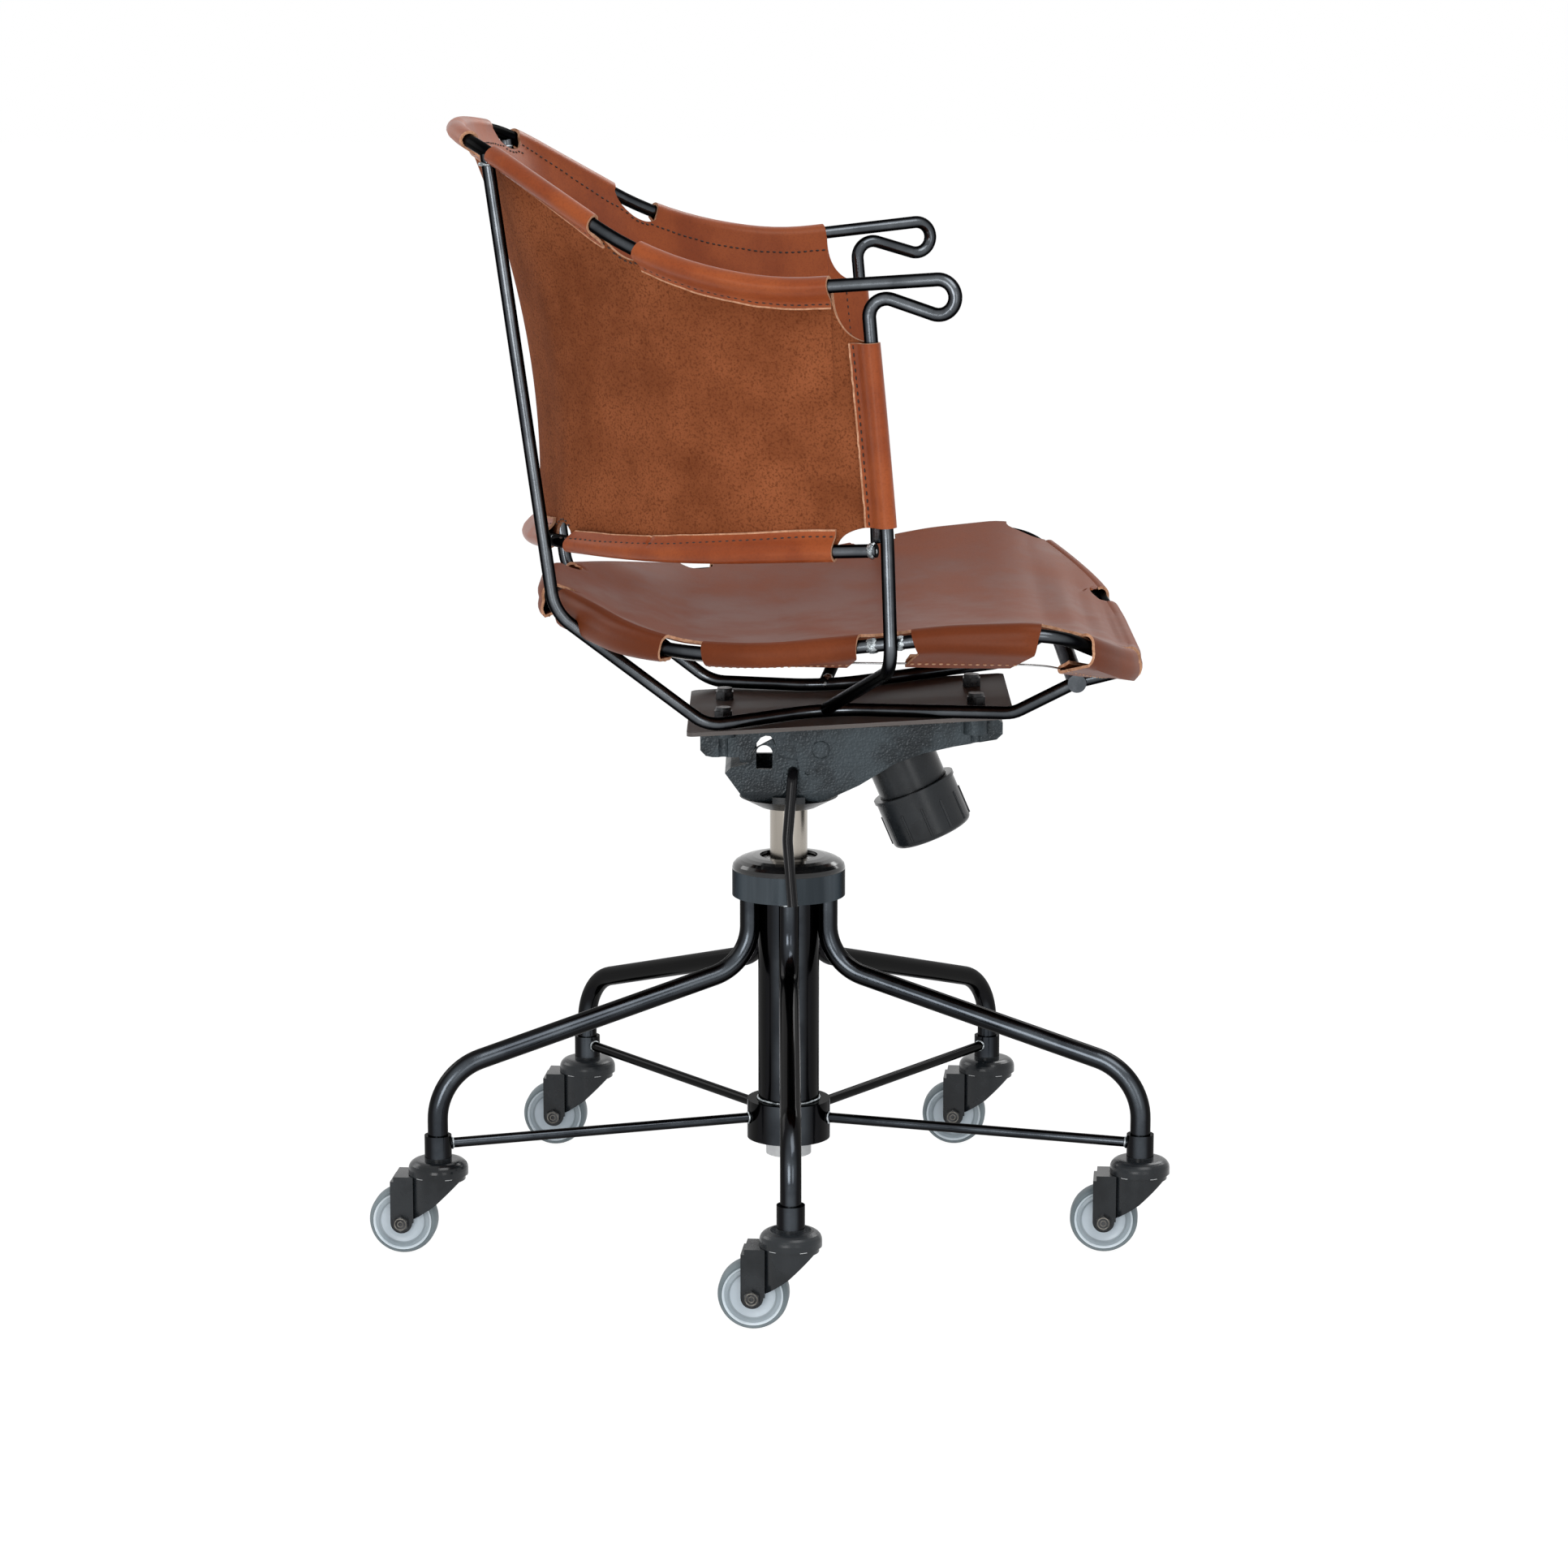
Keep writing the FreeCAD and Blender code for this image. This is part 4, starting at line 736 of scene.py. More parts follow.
@dataclass(frozen=True)
class HideFinish(Finish):
    """Leather face or suede: fine specks and long soft creases over the mottled colour."""

    speck: Colour = (0.1, 0.05, 0.03)
    speck_scale: float = 600.0
    speck_low: float = 0.47
    speck_high: float = 0.66
    speck_share: float = 0.3
    crease_scale: float = 9.0
    crease_height: float = 0.0015

    def colour(self, wiring: Wiring, mottled: Socket, vector: Socket) -> Socket:
        """Add specks to the mottled colour.

        Args:
            wiring: the material's wiring.
            mottled: the mottled colour.
            vector: coordinates.

        Returns:
            The colour of the surface.
        """
        specks = self.mottle(wiring, vector, self.speck_scale, self.speck_low, self.speck_high)
        amount = wiring.combine("MULTIPLY", specks.outputs["Mask"], self.speck_share)
        return wiring.blend(amount, mottled, (*self.speck, 1.0))

    def folds(self, wiring: Wiring, vector: Socket) -> Optional[Socket]:
        """Return the normal of the long soft creases."""
        crease = self.relief(wiring, vector, self.crease_scale, 0.0)
        return self.bump(wiring, crease, self.crease_height, None)


FINISHES: Dict[str, Finish] = {finish.name: finish for finish in (
    # Painted highlight: black_tube's colours are lighter than the black steel's own and turn to a dark rim
    # at the outline, painting a light stripe down each leg.
    Finish("black_tube", (0.03, 0.035, 0.042), (0.065, 0.075, 0.086), metallic=0.95, roughness=0.2,
           coat=0.15, tint=(0.1, 0.1, 0.12), rim=(0.004, 0.004, 0.005), painted_reflection_reach=0.24),
    Finish("collar_steel", (0.03, 0.037, 0.043), (0.08, 0.095, 0.108), metallic=0.9, roughness=0.3,
           pattern=Pattern.UPRIGHT, tint=(0.2, 0.2, 0.2)),
    Finish("gloss_cap", (0.004, 0.004, 0.004), (0.01, 0.01, 0.011), roughness=0.12,
           roughness_swing=0.04, relief_height=0.000005),
    Finish("pale_plastic", (0.5, 0.51, 0.51), (0.66, 0.67, 0.67), roughness=0.45),
    Finish("bright_steel", (0.42, 0.42, 0.42), (0.62, 0.62, 0.62), metallic=1.0, roughness=0.25,
           pattern=Pattern.UPRIGHT),
    Finish("nickel_tube", (0.3, 0.275, 0.24), (0.5, 0.46, 0.41), metallic=1.0, roughness=0.3,
           pattern=Pattern.UPRIGHT, relief_height=0.00001),
    # Painted highlight: frame_rod's colours are lighter than the dark rod's own and turn to a dark rim at
    # the outline, painting a light stripe down each rod.
    Finish("frame_rod", (0.075, 0.083, 0.092), (0.13, 0.142, 0.155), cloud_scale=30.0, metallic=0.95,
           roughness=0.23, roughness_swing=0.04, tint=(0.1, 0.1, 0.12), rim=(0.005, 0.005, 0.006),
           painted_reflection_reach=0.34),
    Finish("lever_rod", (0.003, 0.003, 0.004), (0.008, 0.008, 0.009), roughness=0.2, specular=0.15,
           relief_height=0.00001),
    Finish("casting", (0.011, 0.015, 0.018), (0.042, 0.055, 0.063), cloud_scale=26.0, metallic=0.3,
           roughness=0.36, relief_scale=650.0, relief_pits=0.8, relief_height=0.0005, specular=0.3),
    Finish("black_plastic", (0.006, 0.0075, 0.009), (0.016, 0.019, 0.022), roughness=0.24,
           relief_height=0.00004, specular=0.3),
    Finish("dark_steel", (0.012, 0.012, 0.013), (0.06, 0.062, 0.065), cloud_scale=120.0, metallic=0.6,
           roughness=0.32),
    Finish("nut_steel", (0.1, 0.095, 0.085), (0.2, 0.19, 0.17), cloud_scale=200.0, metallic=0.8,
           roughness=0.35),
    Finish("hub_plastic", (0.46, 0.53, 0.58), (0.56, 0.63, 0.68), roughness=0.4),
    Finish("hub_band", (0.27, 0.32, 0.35), (0.34, 0.39, 0.42), roughness=0.45),
    # Painted highlight: the light colour of the rib on the tyre's side.
    Finish("painted_rib_highlight", (0.66, 0.74, 0.79), (0.75, 0.82, 0.86), roughness=0.35),
    Finish("grey_tread", (0.13, 0.165, 0.18), (0.2, 0.24, 0.255), roughness=0.6, relief_height=0.00006),
    Finish("plate_paint", (0.075, 0.065, 0.06), (0.155, 0.135, 0.125), roughness=0.5,
           pattern=Pattern.LENGTHWISE, relief_height=0.00006, specular=0.3),
    Finish("hem_steel", (0.3, 0.3, 0.3), (0.5, 0.5, 0.5), metallic=1.0, roughness=0.3),
    Finish("weld_metal", (0.1, 0.115, 0.125), (0.5, 0.54, 0.56), cloud_scale=260.0, metallic=1.0,
           roughness=0.34, roughness_swing=0.15, relief_height=0.0004),
    HideFinish("back_hide", (0.235, 0.045, 0.012), (0.32, 0.071, 0.019), roughness=0.38, coat=0.05,
               coat_roughness=0.3, relief_scale=1400.0, relief_pits=0.7, relief_height=0.00006,
               specular=0.3, tint=(1.0, 0.75, 0.6), speck=(0.12, 0.025, 0.008), speck_share=0.25,
               crease_height=0.0005),
    HideFinish("seat_hide", (0.135, 0.03, 0.010), (0.185, 0.044, 0.015), cloud_scale=9.0, roughness=0.44,
               relief_scale=1400.0, relief_pits=0.7, relief_height=0.00006, specular=0.11,
               tint=(1.0, 0.85, 0.75), speck=(0.09, 0.022, 0.008), speck_share=0.2,
               crease_height=0.0007),
    HideFinish("suede", (0.17, 0.045, 0.015), (0.31, 0.094, 0.036), cloud_scale=22.0, cloud_low=0.2,
               cloud_high=0.8, roughness=0.92, roughness_swing=0.04, relief_scale=1100.0,
               relief_pits=0.2, relief_height=0.0004, specular=0.08, speck=(0.085, 0.02, 0.006),
               speck_share=0.72, speck_scale=640.0, crease_height=0.0012),
    HideFinish("raw_edge", (0.46, 0.22, 0.12), (0.66, 0.36, 0.22), cloud_scale=200.0, roughness=0.85,
               relief_height=0.0002, specular=0.2, speck=(0.25, 0.1, 0.05), speck_share=0.4,
               crease_height=0.0),
    Finish("dark_thread", (0.012, 0.005, 0.003), (0.035, 0.014, 0.008), cloud_scale=300.0, roughness=0.7),
    Finish("tan_thread", (0.34, 0.17, 0.09), (0.52, 0.3, 0.18), cloud_scale=300.0, roughness=0.7),
)}


class Paintbox:
    """Materials made once from their finishes."""

    def __init__(self) -> None:
        """Start with no material made."""
        self._made: Dict[str, Material] = {}

    def get(self, *names: str) -> List[Material]:
        """Return the materials of some finishes.

        Args:
            names: names of the finishes.

        Returns:
            The materials in the same order.
        """
        for name in names:
            if name not in self._made:
                self._made[name] = FINISHES[name].material()
        return [self._made[name] for name in names]

    def dress_nodes(self) -> None:
        """Give each of the frame's nodes the finish of its slot."""
        for row in frame["record"]["subparts"]:
            Bench.paint(frame["nodes"][row["node"]], self.get(row["material_slot"]))


@dataclass
class Fitting:
    """What every sub-assembly here has: its paints and the frame that it is fitted to."""

    paint: Paintbox
    sizes: FrameSizes = FrameSizes()


@dataclass
class Column:
    """One upright line through the back's leather, between its upper and its lower rod."""

    rods: Tuple[RodPoint, RodPoint]
    bulge: float
    high_share: float = 0.0
    low_share: float = 1.0

    @property
    def height(self) -> float:
        """Distance between the rods."""
        return (self.rods[0].centre - self.rods[1].centre).length

    def up(self, low: bool) -> Vector:
        """Return the way off the panel at one rod."""
        return self.rods[low].along.cross(self.rods[low].out) * (-1 if low else 1)

    def share_at(self, depth: float, low: bool) -> float:
        """Return the share of the height at a depth from one rod."""
        return 1 - depth / self.height if low else depth / self.height


@dataclass
class Hide(Fitting):
    """Sizes and steps that both leather pieces share, in metres."""

    finishes: Tuple[str, str, str] = ("back_hide", "suede", "raw_edge")
    thickness: float = 0.0021
    gap: float = 0.0003
    dip: float = 0.013
    count: int = 110
    mark_clearance: float = 0.001
    rows: int = 26
    gap_count: int = 10
    arc_steps: int = 14
    flap_steps: int = 7
    stitch_pitch: float = 0.0051
    stitch_length: float = 0.0034
    stitch_radius: float = 0.00075
    merge_distance: float = 0.00004
    mirror_distance: float = 0.0002
    edge_bevel: float = 0.0003
    edge_angle: float = math.radians(60)
    stitch_cells: Tuple[int, int] = (6, 4)
    edge_share: float = 0.08

    @property
    def roll(self) -> float:
        """Radius of the middle of the leather round a rod."""
        return self.sizes.rod_radius + self.gap + self.thickness / 2

    def scallop(self, gaps: Sequence[Shares], share: float) -> float:
        """Return how far the hide's edge draws back from a rod.

        Args:
            gaps: shares of the rod where each gap starts and ends.
            share: share of the rod's length.

        Returns:
            Depth of the round cut, zero outside the gaps.
        """
        for start, end in gaps:
            if start < share < end:
                part = 2 * (share - start) / (end - start) - 1
                return self.dip * math.sqrt(1 - part * part)
        return 0.0

    def even_shares(self, gaps: Sequence[Shares]) -> List[float]:
        """Return the shares of the columns: even ones, and closer ones in the gaps.

        Args:
            gaps: shares where each gap starts and ends.

        Returns:
            The shares in order, none of them just beside the end of a gap.
        """
        shares = {i / self.count for i in range(self.count + 1)}
        for start, end in gaps:
            shares |= {start + (end - start) * i / self.gap_count for i in range(self.gap_count + 1)}
        marks = {mark for pair in gaps for mark in pair}
        return [share for share in sorted(shares)
                if share in marks or all(abs(share - mark) > self.mark_clearance for mark in marks)]

    @staticmethod
    def zones(gaps: Sequence[Shares]) -> List[Shares]:
        """Return where each stretch between the gaps starts and ends."""
        edges = [0.0] + [mark for pair in gaps for mark in pair] + [1.0]
        return list(zip(edges[::2], edges[1::2]))

    def flap_share(self, step: int) -> float:
        """Return how far down a flap one of its rows lies, the last row narrow as the raw edge."""
        return 1.0 if step == self.flap_steps else step / (self.flap_steps - 1) * (1 - self.edge_share)

    def flapped(self, columns: int, rows: int, surface: Surface) -> Piece:
        """Lay one rolled part of the sheet, its last row in the raw edge's colour.

        Args:
            columns: number of cells along the part.
            rows: number of cells across it.
            surface: gives the place of a corner from its column and row.

        Returns:
            The part as an object of its own.
        """
        piece = Bench.grid(columns, rows, surface)
        Bench.paint(piece, self.paint.get(*self.finishes))
        for face in piece.data.polygons:
            face.material_index = 2 if face.index // columns == rows - 1 else 0
        return piece

    def finish_sheet(self, parts: List[Piece], name: str, spot: Vector, way: Vector) -> Piece:
        """Join the parts of a half sheet, mirror it and give it its thickness.

        Args:
            parts: grids of the +X half, smooth side one way.
            name: name of the finished piece.
            spot: place of a face whose side is known.
            way: direction that the smooth side looks there.

        Returns:
            The finished sheet.
        """
        Bench.paint(parts[0], self.paint.get(*self.finishes))
        piece = Bench.join(parts, name)
        Bench.merge(piece, self.merge_distance)
        LOG.info("%s: %.3f square metres of hide", name, 2 * sum(face.area for face in piece.data.polygons))
        Bench.face_towards(piece, spot, way)
        Bench.mirror(piece, merge_threshold=self.mirror_distance)
        Bench.modify(piece, "SOLIDIFY", thickness=self.thickness, offset=0.0, use_even_offset=False,
                     material_offset=1, material_offset_rim=2)
        Bench.modify(piece, "BEVEL", width=self.edge_bevel, segments=1, limit_method="ANGLE",
                     angle_limit=self.edge_angle)
        Bench.smooth(piece)
        return piece

    def stitches(self, lines: List[List[Stitch]], name: str, thread: str) -> Piece:
        """Sew stitches along lines on the +X half and their mirror images.

        Args:
            lines: place, direction and face normal of each stitch.
            name: name of the finished piece.
            thread: finish of the thread.

        Returns:
            All the stitches as one piece.
        """
        Bench.clear()
        around, tall = self.stitch_cells
        bpy.ops.mesh.primitive_uv_sphere_add(segments=around, ring_count=tall, radius=1)
        grain = bpy.context.object
        size = Matrix.Diagonal((self.stitch_length / 2, self.stitch_radius, self.stitch_radius, 1.0))
        made = []
        for place, along, normal in (stitch for line in lines for stitch in line):
            across = normal.cross(along).normalized()
            turn = Matrix((along, across, along.cross(across))).transposed().to_4x4()
            stitch = grain.copy()
            stitch.data = grain.data.copy()
            bpy.context.collection.objects.link(stitch)
            stitch.data.transform(Matrix.Translation(place) @ turn @ size)
            made.append(stitch)
        bpy.data.objects.remove(grain)
        piece = Bench.join(made, name)
        Bench.mirror(piece, use_mirror_merge=False)
        Bench.paint(piece, self.paint.get(thread))
        Bench.smooth(piece, ROUND_ANGLE)
        return piece


@dataclass
class BackShell(Hide):
    """One hide round the back and both arms, rolled over the rods and sewn outside."""

    flap: float = 0.0155
    upright_flap: float = 0.0165
    narrow_share: float = 0.55
    settle: float = 0.013
    bulge: float = 0.018
    front_bulge_share: float = 0.5
    front_count: int = 18
    seam_insets: Tuple[float, float] = (0.0034, 0.0050)
    gap_inset: float = 0.002
    arm_gap_shares: Tuple[float, float] = (-0.552, -0.419)
    top_gap_sides: Tuple[float, float] = (0.0848, 0.1206)
    low_gap_sides: Tuple[float, float] = (0.080, 0.1092)
    top_end: float = 0.027
    low_end: float = 0.031
    hump: Place = (0.2556, -0.0535, 0.7000)
    upright_roll: Tuple[float, float] = (0.5604, 0.6879)
    edge_power: float = 2.25
    # How far both ends of each strip run on at the raw edge, on the upper and on the lower rod
    slants: Tuple[Tuple[Tuple[float, float], ...], ...] = (
        ((0.0, 0.0), (-0.002, 0.005), (-0.002, 0.0)), ((0.0, 0.0), (0.010, 0.0)))
    cut_swing: float = 0.0006
    cut_waves: Place = (9.0, 3.1, 0.5)
    upright_waves: Place = (0.9, 2.0, 0.0)
    front_length: float = 0.06
    panel_height: float = 0.24
    cut_share: float = 0.72

    def __post_init__(self) -> None:
        """Lay out the rods that the hide hangs on."""
        sizes = self.sizes
        heading = Vector((math.sin(sizes.arm_heading), -math.cos(sizes.arm_heading), 0.0))
        points, radii = sizes.runs(BACK_ROD_SHARES)
        climb = math.tan(sizes.arm_slope)
        crest = points[-1] + heading * sizes.loop_reach + UP * sizes.loop_reach * climb
        top = Track(points + [cut_run(points[-1], crest, self.top_end)], radii + [0.0])
        points, radii = sizes.runs(LOW_ROD_SHARES)
        low = Track(points[:-1] + [cut_run(points[-2], points[-1], self.low_end)], radii)
        self.tracks = (top, low)
        self.front_out = outward(heading)
        self.front_along = heading
        self.upright = (Vector(self.hump), sizes.place(UPRIGHT_TOP_SHARES))
        self.upright_axis = (self.upright[1] - self.upright[0]).normalized()
        forward = self.upright_axis.cross(self.front_out).normalized()
        self.forward = forward * (1 if forward.dot(heading) > 0 else -1)
        arm_gap = [share * sizes.reach for share in self.arm_gap_shares]
        self.rod_gaps = ([top.span(sideways, self.top_gap_sides), top.span(ahead, arm_gap)],
                         [low.span(sideways, self.low_gap_sides)])

    def upright_at(self, height: float) -> Vector:
        """Return the point of the front upright at a height."""
        high, low = self.upright
        return high + (low - high) * ((height - high.z) / (low.z - high.z))

    def column(self, share: float) -> Column:
        """Return the column at a share of both rods.

        Args:
            share: share of each rod's length.

        Returns:
            The column, drawn back from the rods where a gap is.
        """
        rods = (self.tracks[0].point(share), self.tracks[1].point(share))
        column = Column(rods, self.bulge * between(BULGE_SHARES, share))
        column.high_share = self.scallop(self.rod_gaps[0], share) / column.height
        column.low_share = 1 - self.scallop(self.rod_gaps[1], share) / column.height
        return column

    def front_column(self, share: float) -> Column:
        """Return a column between the ends of the rolls and the upright.

        Args:
            share: share of the way to the upright.

        Returns:
            The column, on an edge that curves up and down to the upright's roll.
        """
        last = self.column(1.0)
        share = 1 - math.cos(share * math.pi / 2)
        rise = (1 - (1 - share) ** self.edge_power) ** (1 / self.edge_power)
        rods = []
        for rod, height in zip(last.rods, reversed(self.upright_roll)):
            end = self.upright_at(height)
            centre = rod.centre.lerp(end, share)
            centre.z = rod.centre.z + (end.z - rod.centre.z) * rise
            out = rod.out.lerp(self.front_out, share).normalized()
            rods.append(RodPoint(centre, out, self.front_along))
        return Column(tuple(rods), last.bulge * (1 - self.front_bulge_share * share))

    def panel_point(self, column: Column, share: float) -> Vector:
        """Return the middle of the leather at a share of the way from the top rod to the low one.

        Args:
            column: column of the panel.
            share: share of the way.

        Returns:
            The point.
        """
        high, low = (rod.centre - rod.out * self.roll for rod in column.rods)
        out = column.rods[0].out.lerp(column.rods[1].out, share)
        return high.lerp(low, share) - out * column.bulge * 4 * share * (1 - share)

    def roll_point(self, column: Column, turn: float, low: bool, shift: float) -> Vector:
        """Return the middle of the leather round a rod, at a turn from the sitter's side.

        Args:
            column: column that the roll grows from.
            turn: turn round the rod.
            low: whether the rod is the lower one.
            shift: how far the point runs on along the rod.

        Returns:
            The point.
        """
        rod = column.rods[low]
        way = column.up(low) * math.sin(turn) - rod.out * math.cos(turn)
        return rod.centre + rod.along * shift + way * self.roll

    def flap_point(self, column: Column, depth: float, low: bool, shift: float = 0.0) -> Vector:
        """Return the middle of a flap, where it lies on the hide.

        Args:
            column: column that it lies on.
            depth: depth past the rod.
            low: whether the rod is the lower one.
            shift: how far the point runs on along the rod.

        Returns:
            The point.
        """
        rod = column.rods[low]
        free = rod.centre + rod.out * self.roll - column.up(low) * depth
        laid = self.panel_point(column, column.share_at(depth, low))
        laid += rod.out * (self.thickness + self.gap / 2)
        return free.lerp(laid, smooth(depth / self.settle)) + rod.along * shift

    def flap_depth(self, share: float, zone: int) -> float:
        """Return how deep a flap is, a little uneven as cut by hand.

        Args:
            share: share of the strip's length.
            zone: number of the strip from the middle of the back.

        Returns:
            Depth past the rod.
        """
        depth = self.flap
        if zone == 1:
            depth *= self.narrow_share + (1 - self.narrow_share) * smooth(share)
        waves, step, row = self.cut_waves
        return depth + self.cut_swing * noise.noise(Vector((share * waves, zone * step, row)))

    def strip(self, columns: List[Column], low: bool, zone: int) -> Piece:
        """Roll one strip of the hide over a rod and lay its flap.

        Args:
            columns: columns of the panel that the strip grows from.
            low: whether the rod is the lower one.
            zone: number of the strip from the middle of the back.

        Returns:
            The strip as a grid.
        """
        last = len(columns) - 1
        total = self.arc_steps + self.flap_steps
        first, second = self.slants[low][zone]

        def surface(i: int, k: int) -> Vector:
            """Return one corner of the strip.

            Args:
                i: its column.
                k: its row.

            Returns:
                Its place.
            """
            share = i / last
            lean = (first * (1 - share) ** 4 + second * share ** 4) * (k / total) ** 2
            if k <= self.arc_steps:
                return self.roll_point(columns[i], math.pi * k / self.arc_steps, low, lean)
            part = self.flap_share(k - self.arc_steps)
            return self.flap_point(columns[i], part * self.flap_depth(share, zone), low, lean)

        return self.flapped(last, total, surface)

    def upright_strip(self, column: Column) -> Piece:
        """Roll the front edge of the hide round the upright and lay its flap outside.

        Args:
            column: last column of the panel.

        Returns:
            The strip as a grid.
        """
        out, (wave, step, row) = self.front_out, self.upright_waves

        def surface(j: int, k: int) -> Vector:
            """Return one corner of the strip.

            Args:
                j: its column.
                k: its row.

            Returns:
                Its place.
            """
            edge = self.panel_point(column, j / self.rows)
            centre = edge + out * self.roll
            if k <= self.arc_steps:
                turn = math.pi * k / self.arc_steps
                return centre + (self.forward * math.sin(turn) - out * math.cos(turn)) * self.roll
            swing = self.cut_swing * noise.noise(Vector((j * wave, step, row)))
            back = self.flap_share(k - self.arc_steps) * (self.upright_flap + swing)
            free = centre + out * self.roll - self.forward * back
            laid = edge + out * (self.thickness + self.gap) - self.forward * back
            return free.lerp(laid, smooth(back / self.settle))

        return self.flapped(self.rows, self.arc_steps + self.flap_steps, surface)

    def build(self) -> Piece:
        """Build the whole hide and let it ride on the seat.

        Returns:
            The finished hide.
        """
        even = self.even_shares(self.rod_gaps[0] + self.rod_gaps[1])
        columns = [self.column(share) for share in even]
        wide = columns + [self.front_column((i + 1) / self.front_count) for i in range(self.front_count)]

        def surface(i: int, j: int) -> Vector:
            """Return one corner of the panel."""
            high, low = wide[i].high_share, wide[i].low_share
            return self.panel_point(wide[i], high + (low - high) * j / self.rows)

        parts = [Bench.grid(len(wide) - 1, self.rows, surface)]
        for low, gaps in enumerate(self.rod_gaps):
            for zone, (start, end) in enumerate(self.zones(gaps)):
                inside = [column for share, column in zip(even, columns) if start <= share <= end]
                parts.append(self.strip(inside, bool(low), zone))
        parts.append(self.upright_strip(wide[-1]))
        piece = self.finish_sheet(
            parts, "back_hide_sheet", self.panel_point(columns[0], 0.5), Vector((0.0, -1.0, 0.0)))
        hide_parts("back_leather")
        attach(piece, "seat")
        return piece

    def seam(self, low: bool) -> List[List[Stitch]]:
        """Return the stitch lines beside one rod.

        Args:
            low: whether the rod is the lower one.

        Returns:
            The lines outside and inside.
        """
        gaps, zones = self.rod_gaps[low], self.zones(self.rod_gaps[low])
        count = int(self.tracks[low].total / self.stitch_pitch)
        outer, inner = [], []
        for i in range(count):
            share = (i + 0.5) / count
            column = self.column(share)
            rod = column.rods[low]
            zone = next((z for z, (start, end) in enumerate(zones) if start <= share <= end), None)
            if zone is None:
                depth = self.flap_depth(1.0, 0)
            else:
                start, end = zones[zone]
                depth = self.flap_depth((share - start) / (end - start), zone)
            depth = max(depth - self.seam_insets[low], self.scallop(gaps, share) + self.gap_inset)
            middle = self.panel_point(column, column.share_at(depth, low))
            face = middle if zone is None else self.flap_point(column, depth, low)
            outer.append((face + rod.out * self.thickness / 2, rod.along, rod.out))
            inner.append((middle - rod.out * self.thickness / 2, rod.along, rod.out * -1))
        return [outer, inner]

    def upright_lines(self) -> List[List[Stitch]]:
        """Return the stitch lines behind the front upright, outside and inside.

        Returns:
            Both lines.
        """
        column = self.front_column(1.0)
        count = int((self.upright_roll[1] - self.upright_roll[0]) / self.stitch_pitch)
        back = self.forward * (self.upright_flap - self.seam_insets[0])
        out, axis = self.front_out, self.upright_axis
        outer, inner = [], []
        for i in range(count):
            edge = self.panel_point(column, (i + 0.5) / count) - back
            outer.append((edge + out * (self.thickness * 1.5 + self.gap), axis, out))
            inner.append((edge - out * self.thickness / 2, axis, out * -1))
        return [outer, inner]

    def sew(self) -> Piece:
        """Sew the flaps to the hide, seen from both sides.

        Returns:
            The stitches.
        """
        lines = self.seam(False) + self.seam(True) + self.upright_lines()
        piece = self.stitches(lines, "back_stitches", "dark_thread")
        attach(piece, "seat")
        return piece


class HemPoint(NamedTuple):
    """Places on the seat ring and on the hem wire below it, with the ways there."""

    ring: Vector
    along: Vector
    out: Vector
    up: Vector
    hem: Vector
    way: Vector
    side: Vector


